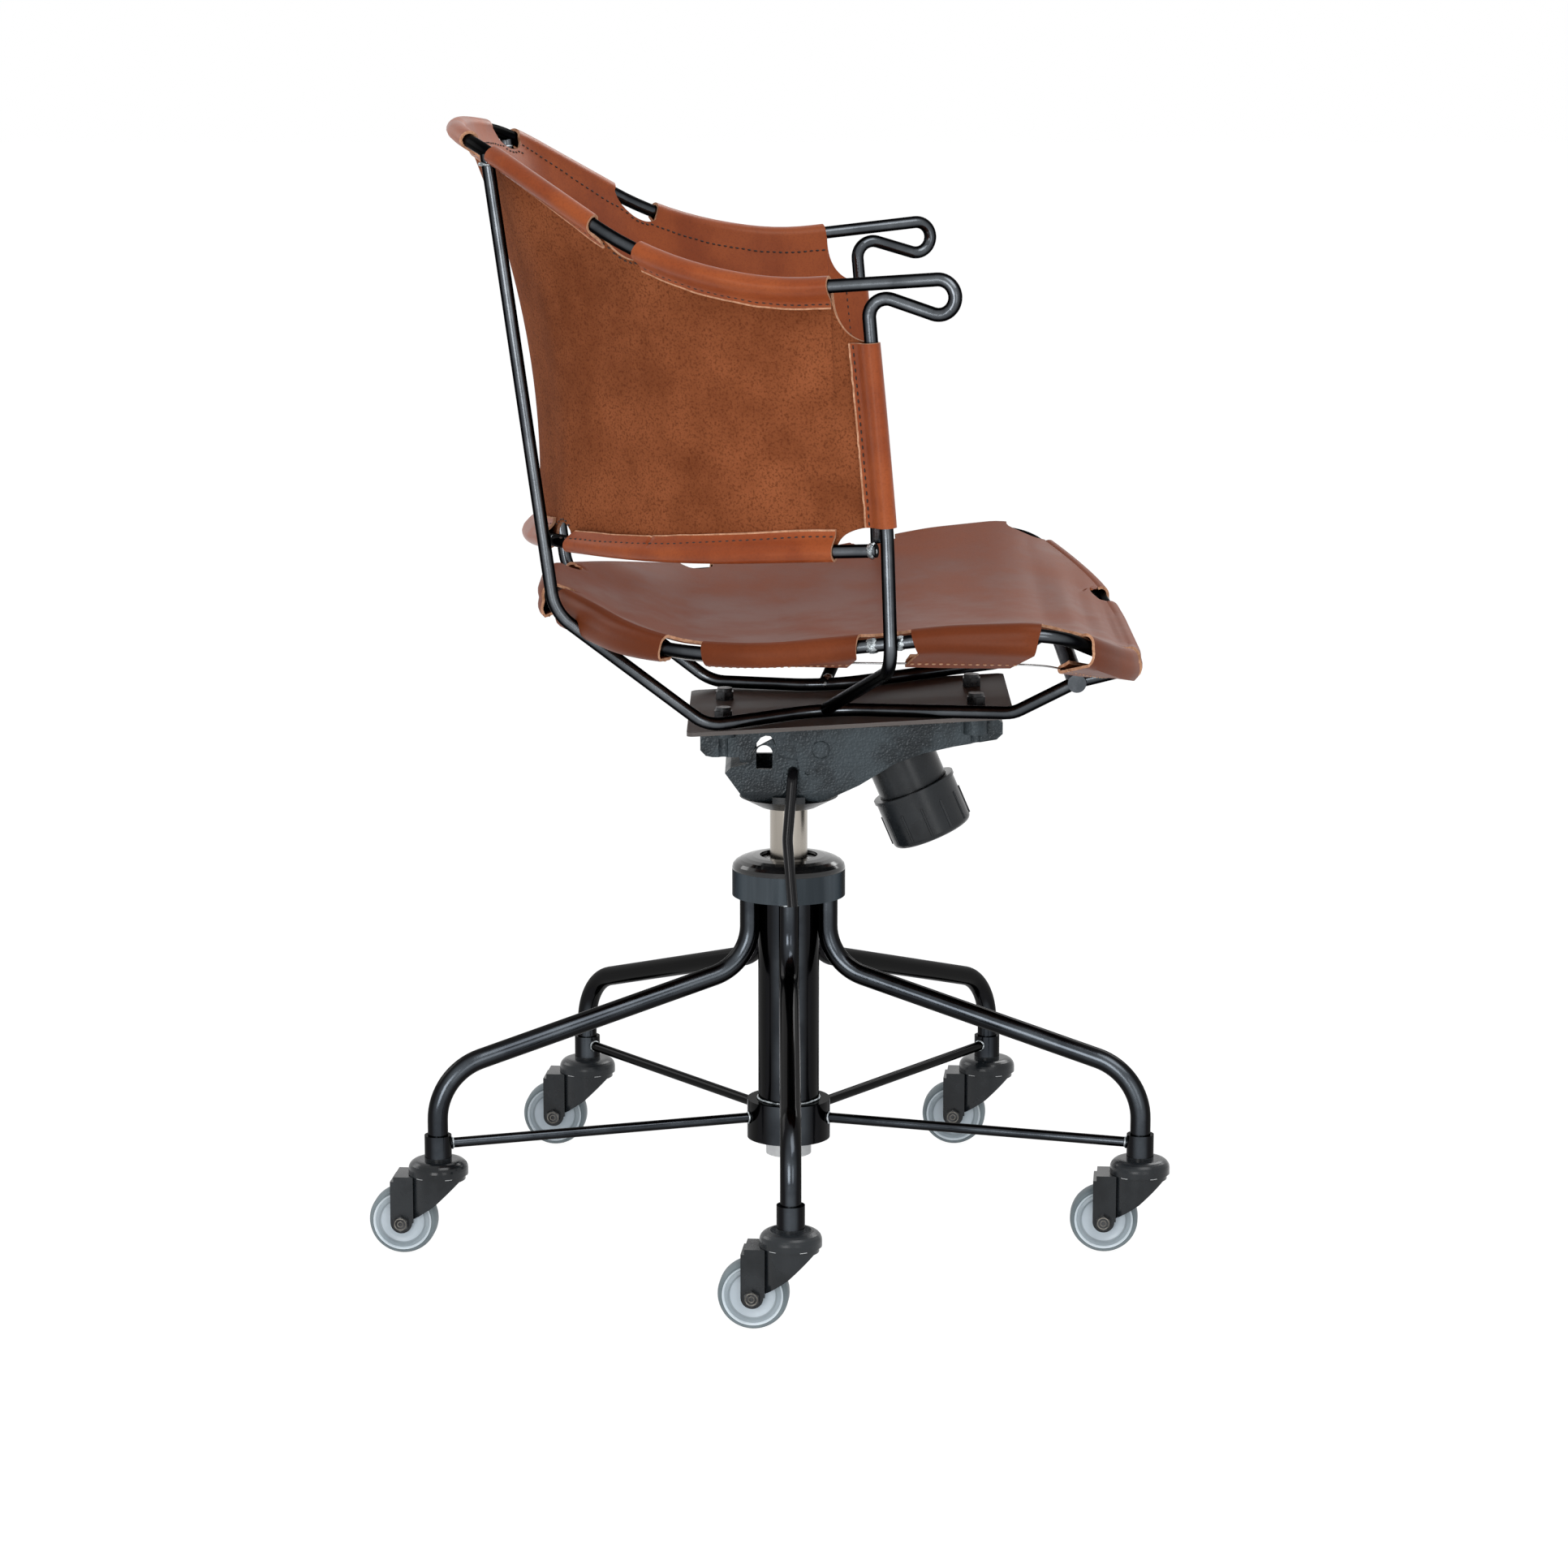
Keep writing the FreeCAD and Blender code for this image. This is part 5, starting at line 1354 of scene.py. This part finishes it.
@dataclass
class SeatSling(Hide):
    """Seat hide hung in the ring: rolled edge, hem flaps and open notches."""

    finishes: Tuple[str, str, str] = ("seat_hide", "suede", "raw_edge")
    sag: float = 0.032
    slack: float = 0.0018
    low_slack: float = 0.0065
    rear_slack: float = 0.0052
    slack_start: float = 0.06
    rear_run: float = 0.09
    front_run: float = 0.12
    dip: float = 0.010
    count: int = 150
    mark_clearance: float = 0.0012
    start_turn: float = math.radians(72)
    end_turn: float = math.radians(252)
    hem_radius: float = 0.00205
    hem_steps: int = 8
    hem_lap: float = 0.010
    lap_shares: Tuple[float, ...] = (0.45, 0.88, 1.0)
    lap_rate: float = 1.4
    slant: float = 0.004
    stitch_share: float = 0.75
    stitch_clearance: float = 0.004
    anchor_share: float = 0.74
    ring_share: float = 0.6
    rise_share: float = 0.6
    pull_share: float = 0.75
    end_inset: float = 0.0001
    least_half: float = 0.02
    widest_share: float = 0.75
    side_gap_shares: Tuple[Shares, ...] = ((-0.343, -0.242), (0.202, 0.343), (0.694, 0.819))
    front_gap_sides: Tuple[float, float] = (0.150, 0.110)
    rear_gap_sides: Tuple[float, float] = (0.0504, 0.0663)
    flat: Tuple[float, float] = (0.60, 0.52)
    cut_share: float = 0.8

    def __post_init__(self) -> None:
        """Lay out the ring and the hem wire."""
        ring, reach = self.sizes.track(SEAT_RING_SHARES), self.sizes.reach
        self.ring, self.hem = ring, self.sizes.track(HEM_SHARES)
        widest = ring.share_where(ahead, self.widest_share * reach)
        self.gaps = [ring.span(sideways, self.rear_gap_sides)]
        self.gaps += [ring.span(ahead, [share * reach for share in pair]) for pair in self.side_gap_shares]
        self.gaps.append(ring.span(sideways, self.front_gap_sides, widest))

    def edge_height(self, forward: float) -> Tuple[float, float]:
        """Return the ring's half width and height at a forward distance.

        Args:
            forward: forward distance.

        Returns:
            Half width, never quite zero, and height.
        """
        low, high = ahead(self.ring.places[0]) + self.end_inset, ahead(self.ring.places[-1]) - self.end_inset
        place = self.ring.at(self.ring.share_where(ahead, min(max(forward, low), high)))
        return max(place.x, self.least_half), place.z

    def sag_height(self, place: Vector) -> float:
        """Return the height of the sagging sling over a place in plan.

        Args:
            place: the place, of which only the plan counts.

        Returns:
            The height of the middle of the leather.
        """
        half, height = self.edge_height(-place.y)
        sag = self.sag * between(SAG_SHARES, -place.y / self.sizes.reach)
        across = min(1.0, abs(place.x) / half)
        return height + self.crown(-place.y) - sag * (1 - across * across)

    def crown(self, forward: float) -> float:
        """Return how high the rim of the sling stands over the ring."""
        return self.loop(self.start_turn, forward) * math.sin(self.start_turn)

    def loop(self, turn: float, forward: float) -> float:
        """Return how far the leather stands off the ring's middle, looser on top and below.

        Args:
            turn: turn round the ring from the sitter's side.
            forward: forward distance of the place.

        Returns:
            Distance to the middle of the leather.
        """
        slack = self.slack + self.rear_slack * smooth((-self.slack_start - forward) / self.rear_run)
        if turn > math.pi:
            slack += self.low_slack * smooth((forward - self.slack_start) / self.front_run)
        return self.roll + slack * math.sin(turn) ** 2

    def sling_point(self, share: float, part: float) -> Vector:
        """Return the middle of the sling's leather.

        Args:
            share: share of the ring's length.
            part: share of the way from the middle line out to the ring.

        Returns:
            The point.
        """
        ring, out, _ = self.ring.point(share)
        rim = ring - out * self.loop(self.start_turn, -ring.y) * math.cos(self.start_turn)
        pull = self.scallop(self.gaps, share) * smooth((part - self.pull_share) / (1 - self.pull_share))
        rear, front = self.ring.places[0].y, self.ring.places[-1].y
        even = rear + (front - rear) * share
        middle = (rear + front) / 2
        mixed = self.ring_share * ring.y + (1 - self.ring_share) * even
        anchor = Vector((0.0, middle + (mixed - middle) * self.anchor_share, 0.0))
        edge = Vector((rim.x, rim.y, 0.0))
        place = anchor.lerp(edge, part) - out * pull
        rise = ring.z + self.crown(-ring.y) - self.sag_height(rim)
        reached = (place - anchor).length / (edge - anchor).length
        place.z = self.sag_height(place) + rise * smooth((reached - self.rise_share) / (1 - self.rise_share))
        return place

    def hem_point(self, share: float, lean: float = 0.0) -> HemPoint:
        """Return the places and ways of the ring and the hem.

        Args:
            share: share of the ring's length.
            lean: how far both places run on along the ring.

        Returns:
            The places and ways.
        """
        ring, out, along = self.ring.point(share)
        ring, hem = ring + along * lean, self.hem.at(share) + along * lean
        up = along.cross(out)
        way = (hem - ring).normalized()
        side = along.cross(way).normalized()
        side *= 1 if side.dot(out - up) > 0 else -1
        return HemPoint(ring, along, out, up, hem, way, side)

    def loop_point(self, point: HemPoint, turn: float) -> Vector:
        """Return the middle of the leather at a turn round the ring."""
        way = point.up * math.sin(turn) - point.out * math.cos(turn)
        return point.ring + way * self.loop(turn, -point.ring.y)

    def strip_point(self, share: float, step: int, lean: float = 0.0) -> Vector:
        """Return the middle of the leather on the roll, the flap and the hem.

        Args:
            share: share of the ring's length.
            step: row of the strip, from the sling outwards.
            lean: how far the strip's end runs on along the ring.

        Returns:
            One corner of the strip.
        """
        point = self.hem_point(share, lean)
        if step <= self.arc_steps:
            turn = (self.end_turn - self.start_turn) * step / self.arc_steps
            return self.loop_point(point, self.start_turn + turn)
        stop = point.hem + point.side * self.hem_radius
        step -= self.arc_steps
        if step <= self.flap_steps:
            return self.loop_point(point, self.end_turn).lerp(stop, step / self.flap_steps)
        step -= self.flap_steps
        if step <= self.hem_steps:
            turn = math.pi * step / self.hem_steps
            return point.hem + (point.side * math.cos(turn) + point.way * math.sin(turn)) * self.hem_radius
        lap = self.lap_shares[step - self.hem_steps - 1] * self.hem_lap
        inner = point.hem - point.side * self.hem_radius - point.way * lap
        laid = stop - point.way * lap - point.side * (self.thickness + self.gap)
        return inner.lerp(laid, smooth(lap / self.hem_lap * self.lap_rate))

    def strip(self, inside: List[float], zone: int) -> Piece:
        """Roll one strip of the sling over the ring and down round the hem.

        Args:
            inside: shares of the strip's columns.
            zone: number of the strip from the rear.

        Returns:
            The strip as a grid.
        """
        last = len(inside) - 1
        first = self.slant if zone else 0.0
        second = -self.slant if zone < len(self.gaps) else 0.0

        def surface(i: int, k: int) -> Vector:
            """Return one corner of the strip.

            Args:
                i: its column.
                k: its row.

            Returns:
                Its place.
            """
            part = i / last
            lean = (first * (1 - part) ** 3 + second * part ** 3) * min(1.0, k / self.arc_steps)
            return self.strip_point(inside[i], k, lean)

        total = self.arc_steps + self.flap_steps + self.hem_steps + len(self.lap_shares)
        return self.flapped(last, total, surface)

    def build(self) -> Piece:
        """Build the sling and let it ride on the seat.

        Returns:
            The finished sling.
        """
        even = self.even_shares(self.gaps)
        parts = [Bench.grid(len(even) - 1, self.rows,
                            lambda i, j: self.sling_point(even[i], j / self.rows))]
        for zone, (start, end) in enumerate(self.zones(self.gaps)):
            parts.append(self.strip([share for share in even if start <= share <= end], zone))
        piece = self.finish_sheet(parts, "seat_hide_sheet", self.sling_point(0.5, 0.3), UP)
        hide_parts("seat_leather")
        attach(piece, "seat")
        return piece

    def sew(self) -> Piece:
        """Sew the hem round its wire.

        Returns:
            The stitches.
        """
        count = int(self.hem.total / self.stitch_pitch)
        clear = self.stitch_clearance
        line = []
        for share in ((i + 0.5) / count for i in range(count)):
            if any(start - clear < share < end + clear for start, end in self.gaps):
                continue
            point = self.hem_point(share)
            stop = point.hem + point.side * self.hem_radius
            up = (self.strip_point(share, self.arc_steps) - stop).normalized()
            place = stop + up * (self.hem_lap * self.stitch_share)
            line.append((place + point.side * self.thickness / 2, point.along, point.side))
        piece = self.stitches([line], "hem_stitches", "tan_thread")
        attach(piece, "seat")
        return piece


@dataclass
class Welds(Fitting):
    """Beads of weld metal where the rods and tubes meet, in metres."""

    # Uneven beads: share of the bead's radius, waves a metre, step from bead to bead
    swell: Place = (0.35, 420.0, 90.0)
    wave: Place = (0.6, 300.0, 50.0)
    lump_swell: Place = (0.18, 2.3, 40.0)
    lump_detail: int = 3
    # Tacks: length, radius as a share of the rod's
    end_tack: Tuple[float, float] = (0.0075, 1.2)
    rear_tack: Tuple[float, float] = (0.013, 0.95)
    sleeve_tack: Tuple[float, float] = (0.014, 1.1)
    foot_tack: Tuple[float, float] = (0.015, 0.95)
    end_inset_share: float = 0.75
    rear_side: float = 0.0965
    sleeve_reaches: Tuple[float, float] = (0.0575, 0.0765)
    top_shares: Shares = (0.4377, -0.8550, 0.9540)
    top_bead: float = 0.0013
    foot: Place = (0.0585, -0.0285, 0.0085)
    foot_way: Place = (0.75, -0.3, 0.45)
    # Beads of the base: height, radius and bead
    strut: Place = (0.082, 0.00375, 0.0009)
    leg: Place = (0.2512, 0.0075, 0.0012)
    column: Place = (0.0955, 0.0231, 0.0010)
    strut_reaches: Tuple[float, float] = (0.0318, 0.2612)
    leg_reach: float = 0.03045

    def ring(self, place: Vector, axis: Vector, radius: float, bead: float) -> Piece:
        """Lay one uneven bead round a rod.

        Args:
            place: centre of the bead.
            axis: direction of the rod.
            radius: radius of the rod.
            bead: radius of the bead itself.

        Returns:
            The bead.
        """
        piece = Bench.bead(radius, bead)
        for vertex in piece.data.vertices:
            share, pitch, step = self.swell
            swell = noise.noise(vertex.co * pitch + place * step)
            flat = Vector((vertex.co.x, vertex.co.y, 0.0)).normalized()
            vertex.co += flat * bead * share * swell
            share, pitch, step = self.wave
            vertex.co.z += bead * share * noise.noise(vertex.co * pitch + place * step)
        return Bench.lay(piece, place, axis)

    def lump(self, place: Vector, axis: Vector, tack: Tuple[float, float]) -> Piece:
        """Lay one short tack of weld metal along a seam.

        Args:
            place: middle of the tack.
            axis: direction of the seam.
            tack: length, and radius as a share of the rod's.

        Returns:
            The tack.
        """
        Bench.clear()
        bpy.ops.mesh.primitive_ico_sphere_add(subdivisions=self.lump_detail, radius=1)
        piece = bpy.context.object
        share, pitch, step = self.lump_swell
        for vertex in piece.data.vertices:
            vertex.co *= 1 + share * noise.noise(vertex.co * pitch + place * step)
        radius = self.sizes.rod_radius * tack[1]
        return Bench.lay(piece, place, axis, (radius, radius, tack[0] / 2))

    def finish(self, parts: List[Piece], name: str) -> Piece:
        """Join beads into one piece with the finish of weld metal.

        Args:
            parts: the beads.
            name: name of the finished piece.

        Returns:
            The piece.
        """
        piece = Bench.join(parts, name)
        Bench.paint(piece, self.paint.get("weld_metal"))
        Bench.smooth(piece, ROUND_ANGLE)
        return piece

    def build_frame(self) -> Piece:
        """Lay the beads of the rod frame.

        Returns:
            The beads as one piece.
        """
        low, ring = self.sizes.track(LOW_ROD_SHARES), self.sizes.track(SEAT_RING_SHARES)
        end = low.at(1.0) - low.along(1.0) * self.sizes.rod_radius * self.end_inset_share
        rear = low.share_where(sideways, self.rear_side)
        parts = [self.lump(end, low.along(1.0), self.end_tack),
                 self.lump(low.at(rear), low.along(rear), self.rear_tack)]
        for share in ring.span(ahead, self.sleeve_reaches):
            parts.append(self.lump(ring.at(share), ring.along(share), self.sleeve_tack))
        top = self.sizes.place(self.top_shares)
        parts.append(self.ring(top, UP, self.sizes.rod_radius, self.top_bead))
        foot = Vector(self.foot) + UP * self.sizes.plate_height
        parts.append(self.lump(foot, Vector(self.foot_way), self.foot_tack))
        piece = self.finish(parts, "frame_welds")
        Bench.mirror(piece, use_mirror_merge=False)
        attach(piece, "seat")
        return piece

    def build_base(self) -> Piece:
        """Lay the beads of the base at the struts, the ring and the collar.

        Returns:
            The beads as one piece.
        """
        parts = []
        for turn in map(leg_angle, range(LEGS)):
            way = Vector((math.cos(turn), math.sin(turn), 0.0))
            for reach in self.strut_reaches:
                parts.append(self.ring(way * reach + UP * self.strut[0], way, *self.strut[1:]))
            parts.append(self.ring(way * self.leg_reach + UP * self.leg[0], UP, *self.leg[1:]))
        parts.append(self.ring(UP * self.column[0], UP, *self.column[1:]))
        piece = self.finish(parts, "base_welds")
        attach(piece, "base")
        return piece


@dataclass
class Cheeks(Fitting):
    """Cast cheeks under the bracket's side walls, arched over the housing's ears, in metres."""

    rear: float = -0.065
    length: float = 0.222
    low: float = 0.35356
    height: float = 0.038
    side: float = 0.0385
    thickness: float = 0.0025
    bevel: float = 0.0006
    bevel_angle: float = math.radians(50)
    top_share: float = 0.74
    rows: int = 8
    pivot: Tuple[float, float] = (-0.0235, 0.3684)
    boss_proud: float = 0.0016
    boss: Tuple[float, float] = (0.0064, 0.0005)
    # Lower edge: share of the bracket's length, share of its height
    edge_shares: Tuple[Shares, ...] = (
        (0.115, 0.30), (0.126, 0.28), (0.133, 0.15), (0.165, 0.14), (0.173, 0.32), (0.186, 0.52),
        (0.200, 0.63), (0.216, 0.67), (0.232, 0.66), (0.245, 0.57), (0.253, 0.40), (0.262, 0.25),
        (0.300, 0.20), (0.335, 0.20),
    )

    def build(self) -> Piece:
        """Build both cheeks and let them ride on the seat.

        Returns:
            The cheeks.
        """
        def surface(i: int, k: int) -> Vector:
            """Return one corner of a cheek.

            Args:
                i: its column.
                k: its row.

            Returns:
                Its place.
            """
            along, edge = self.edge_shares[i]
            share = edge + (self.top_share - edge) * k / self.rows
            return Vector((self.side, -self.rear - along * self.length, self.low + share * self.height))

        piece = Bench.grid(len(self.edge_shares) - 1, self.rows, surface)
        Bench.modify(piece, "SOLIDIFY", thickness=self.thickness, offset=0.0)
        Bench.modify(piece, "BEVEL", width=self.bevel, segments=2, limit_method="ANGLE",
                     angle_limit=self.bevel_angle)
        boss = Bench.lay(Bench.bead(*self.boss), Vector((self.side + self.boss_proud, *self.pivot)), SIDE)
        piece = Bench.join([piece, boss], "bracket_cheeks")
        Bench.mirror(piece, use_mirror_merge=False)
        Bench.paint(piece, self.paint.get("casting"))
        Bench.smooth(piece)
        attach(piece, "seat")
        return piece


@dataclass
class Caster(Fitting):
    """Where a caster and its wheel stand, in metres."""

    radius: float = 0.025
    yaw: float = math.radians(-5)
    trail: float = 0.026
    spread: float = 0.2718

    def frame(self, index: int) -> Matrix:
        """Return the place and turn of a caster, numbered from one.

        Args:
            index: number of the caster.

        Returns:
            The move from the origin to it.
        """
        angle = leg_angle(index - 1)
        centre = Vector((self.spread * math.cos(angle), self.spread * math.sin(angle), 0.0))
        return Matrix.Translation(centre) @ Matrix.Rotation(self.yaw, 4, "Z")


@dataclass
class CasterWheel(Caster):
    """Wheel with a dished hub, a grey band, a rib with a painted highlight and a grooved tread, in metres.
    """

    half: float = 0.009
    tread_radius: float = 0.0245
    segments: int = 72
    sharp_angle: float = math.radians(50)
    merge_distance: float = 0.00001
    finishes: Tuple[str, ...] = ("hub_plastic", "hub_band", "painted_rib_highlight", "grey_tread")
    # Side from the bore outwards: radius, depth under the half width, number of the finish
    profile: Tuple[Tuple[float, float, int], ...] = (
        (0.00305, 0.0002, 0), (0.0062, 0.0002, 0), (0.0070, 0.0014, 0), (0.0118, 0.0020, 0),
        (0.0160, 0.0016, 0), (0.0172, 0.0006, 1), (0.0178, 0.0012, 1), (0.0200, 0.0012, 1),
        # Finish 2 is the rib, in a light colour as a painted highlight.
        (0.0206, 0.0002, 2), (0.0215, -0.0002, 2), (0.0221, 0.0004, 3), (0.0228, 0.0001, 3),
        (0.0238, 0.0010, 3), (0.0245, 0.0026, 3), (0.025, 0.0046, 3), (0.025, 0.009, 3),
    )

    def finish_at(self, radius: float) -> int:
        """Return the number of the finish at a radius.

        Args:
            radius: radius of the middle of a face.

        Returns:
            Its place among the finishes.
        """
        finish = 0
        for first, second in zip(self.profile, self.profile[1:]):
            if first[0] <= radius <= second[0]:
                finish = second[2]
        return finish if radius < self.tread_radius else len(self.finishes) - 1

    def build(self, index: int) -> Piece:
        """Turn one wheel and set it on its caster.

        Args:
            index: number of the caster, from one.

        Returns:
            The finished wheel.
        """
        side = [(radius, self.half - depth) for radius, depth, _ in self.profile]
        outline = side + [(radius, -half) for radius, half in side[-2::-1]]

        def surface(i: int, k: int) -> Vector:
            """Return one corner of the wheel about the X axis.

            Args:
                i: its column.
                k: its row.

            Returns:
                Its place.
            """
            angle = 2 * math.pi * i / self.segments
            radius, half = outline[k % len(outline)]
            return Vector((half, radius * math.cos(angle), radius * math.sin(angle)))

        piece = Bench.grid(self.segments, len(outline), surface)
        Bench.merge(piece, self.merge_distance)
        Bench.paint(piece, self.paint.get(*self.finishes))
        for face in piece.data.polygons:
            face.material_index = self.finish_at(math.hypot(face.center.y, face.center.z))
        offset = Matrix.Translation(Vector((0.0, self.trail, self.radius)))
        piece.data.transform(self.frame(index) @ offset)
        piece.name = piece.data.name = "caster_wheel_%d" % index
        Bench.smooth(piece, self.sharp_angle)
        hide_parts("wheel_hub_%d" % index, "wheel_tyre_%d" % index)
        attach(piece, "wheel_%d" % index)
        return piece


@dataclass
class CasterTrim(Caster):
    """Pale dashes just under a caster's dome rim and the rings of its nut, in metres."""

    dash_radius: float = 0.0213
    height: float = 0.0601
    half_tall: float = 0.0006
    thickness: float = 0.0012
    half_turn: float = math.radians(7)
    first: float = math.radians(149)
    count: int = 6
    cells: Tuple[int, int] = (6, 2)
    nut_side: float = 0.0181
    nut_rings: Tuple[Tuple[float, float], ...] = ((0.0042, 0.0005), (0.0020, 0.0004))

    def dome_dash(self, middle: float) -> Piece:
        """Lay one pale dash under the dome rim.

        Args:
            middle: turn of its middle about the dome.

        Returns:
            The face as a thin plate.
        """
        columns, rows = self.cells

        def surface(column: int, row: int) -> Vector:
            """Return one corner of the dash."""
            angle = middle + self.half_turn * (2 * column / columns - 1)
            return Vector((self.dash_radius * math.cos(angle), self.dash_radius * math.sin(angle),
                           self.height + self.half_tall * (2 * row / rows - 1)))

        piece = Bench.grid(columns, rows, surface)
        Bench.modify(piece, "SOLIDIFY", thickness=self.thickness, offset=0.0)
        Bench.paint(piece, self.paint.get("pale_plastic"))
        return piece

    def build(self, index: int) -> Piece:
        """Make one caster's trim and let it ride on its fork.

        Args:
            index: number of the caster, from one.

        Returns:
            The finished trim.
        """
        parts = [self.dome_dash(self.first + 2 * math.pi * i / self.count) for i in range(self.count)]
        place = Vector((-self.nut_side, self.trail, self.radius))
        for radius, bead in self.nut_rings:
            ring = Bench.lay(Bench.bead(radius, bead), place, SIDE)
            Bench.paint(ring, self.paint.get("nut_steel"))
            parts.append(ring)
        piece = Bench.join(parts, "caster_trim_%d" % index)
        piece.data.transform(self.frame(index))
        Bench.smooth(piece)
        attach(piece, "fork_%d" % index)
        return piece


@dataclass
class Studio:
    """Camera, floor and soft lights."""

    eye: Place = (-3.433, 0.0035, 0.994)
    pitch: float = math.radians(10.86)
    lens: float = 107.9
    sensor: float = 36.0
    floor_size: float = 30.0
    floor_height: float = -0.0005
    floor_colour: Colour = (0.85, 0.85, 0.85)
    floor_roughness: float = 0.9
    shown_share: float = 0.85
    shown_strength: float = 1.13
    sky: Colour = (0.9, 0.94, 1.0)
    sky_strength: float = 0.38
    target: Place = (0.0, 0.0, 0.45)
    # Soft boxes: name, place, width and height in metres, power in watts
    lamps: Tuple[Tuple[str, Place, Tuple[float, float], float], ...] = (
        ("key", (-1.6, -0.9, 2.6), (1.6, 1.6), 34.0),
        ("left_box", (-2.6, 0.8, 0.55), (1.0, 1.1), 24.0),
        ("right_box", (-2.6, -1.0, 0.55), (0.7, 1.1), 6.0),
        ("rim", (1.8, -1.2, 2.0), (1.4, 1.2), 22.0),
        ("rear", (1.2, 2.2, 1.6), (1.4, 1.2), 14.0),
    )

    def camera(self) -> None:
        """Set up the camera at the photograph's viewing angle."""
        Bench.clear()
        bpy.ops.object.camera_add(location=self.eye)
        camera = bpy.context.object
        camera.rotation_euler = (math.pi / 2 - self.pitch, 0.0, -math.pi / 2)
        camera.data.lens = self.lens
        camera.data.sensor_width = self.sensor
        camera.data.sensor_fit = "HORIZONTAL"
        bpy.context.scene.camera = camera

    def floor(self) -> None:
        """Lay a pale floor that shows white and keeps the shadow."""
        Bench.clear()
        bpy.ops.mesh.primitive_plane_add(size=self.floor_size, location=(0.0, 0.0, self.floor_height))
        floor = bpy.context.object
        floor.name = "studio_floor"
        material = bpy.data.materials.new("studio_floor")
        material.use_nodes = True
        wiring = Wiring(material.node_tree)
        shader = wiring.feed(wiring.tree.nodes["Principled BSDF"], {
            "Base Color": (*self.floor_colour, 1.0), "Roughness": self.floor_roughness})
        white = wiring.add("Emission", {"Color": (1.0, 1.0, 1.0, 1.0), "Strength": self.shown_strength})
        amount = wiring.combine("MULTIPLY", wiring.seen_white(), self.shown_share)
        blend = wiring.add("MixShader", {
            0: amount, 1: shader.outputs["BSDF"], 2: white.outputs["Emission"]})
        wiring.feed(wiring.tree.nodes["Material Output"], {"Surface": blend.outputs["Shader"]})
        Bench.paint(floor, [material])

    def world(self) -> None:
        """Show white behind the chair and light it dimly from all round."""
        world = bpy.data.worlds.new("studio")
        bpy.context.scene.world = world
        world.use_nodes = True
        wiring = Wiring(world.node_tree)
        back = wiring.feed(wiring.tree.nodes["Background"], {
            "Color": (*self.sky, 1.0), "Strength": self.sky_strength})
        white = wiring.add("Background", {"Color": (1.0, 1.0, 1.0, 1.0), "Strength": 1.0})
        blend = wiring.add("MixShader", {
            0: wiring.seen_white(), 1: back.outputs["Background"], 2: white.outputs["Background"]})
        wiring.feed(wiring.tree.nodes["World Output"], {"Surface": blend.outputs["Shader"]})

    def lamp(self, name: str, place: Vector, size: Tuple[float, float], power: float) -> None:
        """Hang one soft box that looks at the chair.

        Args:
            name: name of the lamp.
            place: where it hangs.
            size: width and height in metres.
            power: power in watts.
        """
        Bench.clear()
        bpy.ops.object.light_add(type="AREA", location=place)
        lamp = bpy.context.object
        lamp.name = name
        lamp.data.shape = "RECTANGLE"
        lamp.data.size, lamp.data.size_y = size
        lamp.data.energy = power
        lamp.rotation_euler = (Vector(self.target) - place).to_track_quat("-Z", "Y").to_euler()

    def build(self) -> None:
        """Build the whole studio."""
        bpy.context.scene.view_settings.view_transform = "Standard"
        self.camera()
        self.floor()
        self.world()
        for name, place, size, power in self.lamps:
            self.lamp(name, Vector(place), size, power)


def main() -> None:
    """Build the studio and every dressed piece, and report each."""
    logging.basicConfig(level=logging.INFO, format="%(message)s")
    Studio().build()
    paint = Paintbox()
    paint.dress_nodes()
    back, seat, welds = BackShell(paint), SeatSling(paint), Welds(paint)
    wheel, trim = CasterWheel(paint), CasterTrim(paint)
    pieces = [back.build(), back.sew(), seat.build(), seat.sew(), welds.build_frame(), welds.build_base(),
              Cheeks(paint).build()]
    for index in range(1, LEGS + 1):
        pieces += [wheel.build(index), trim.build(index)]
    for piece in pieces:
        LOG.info("%s: %d faces", piece.name, len(piece.data.polygons))


if __name__ == "__main__":
    main()
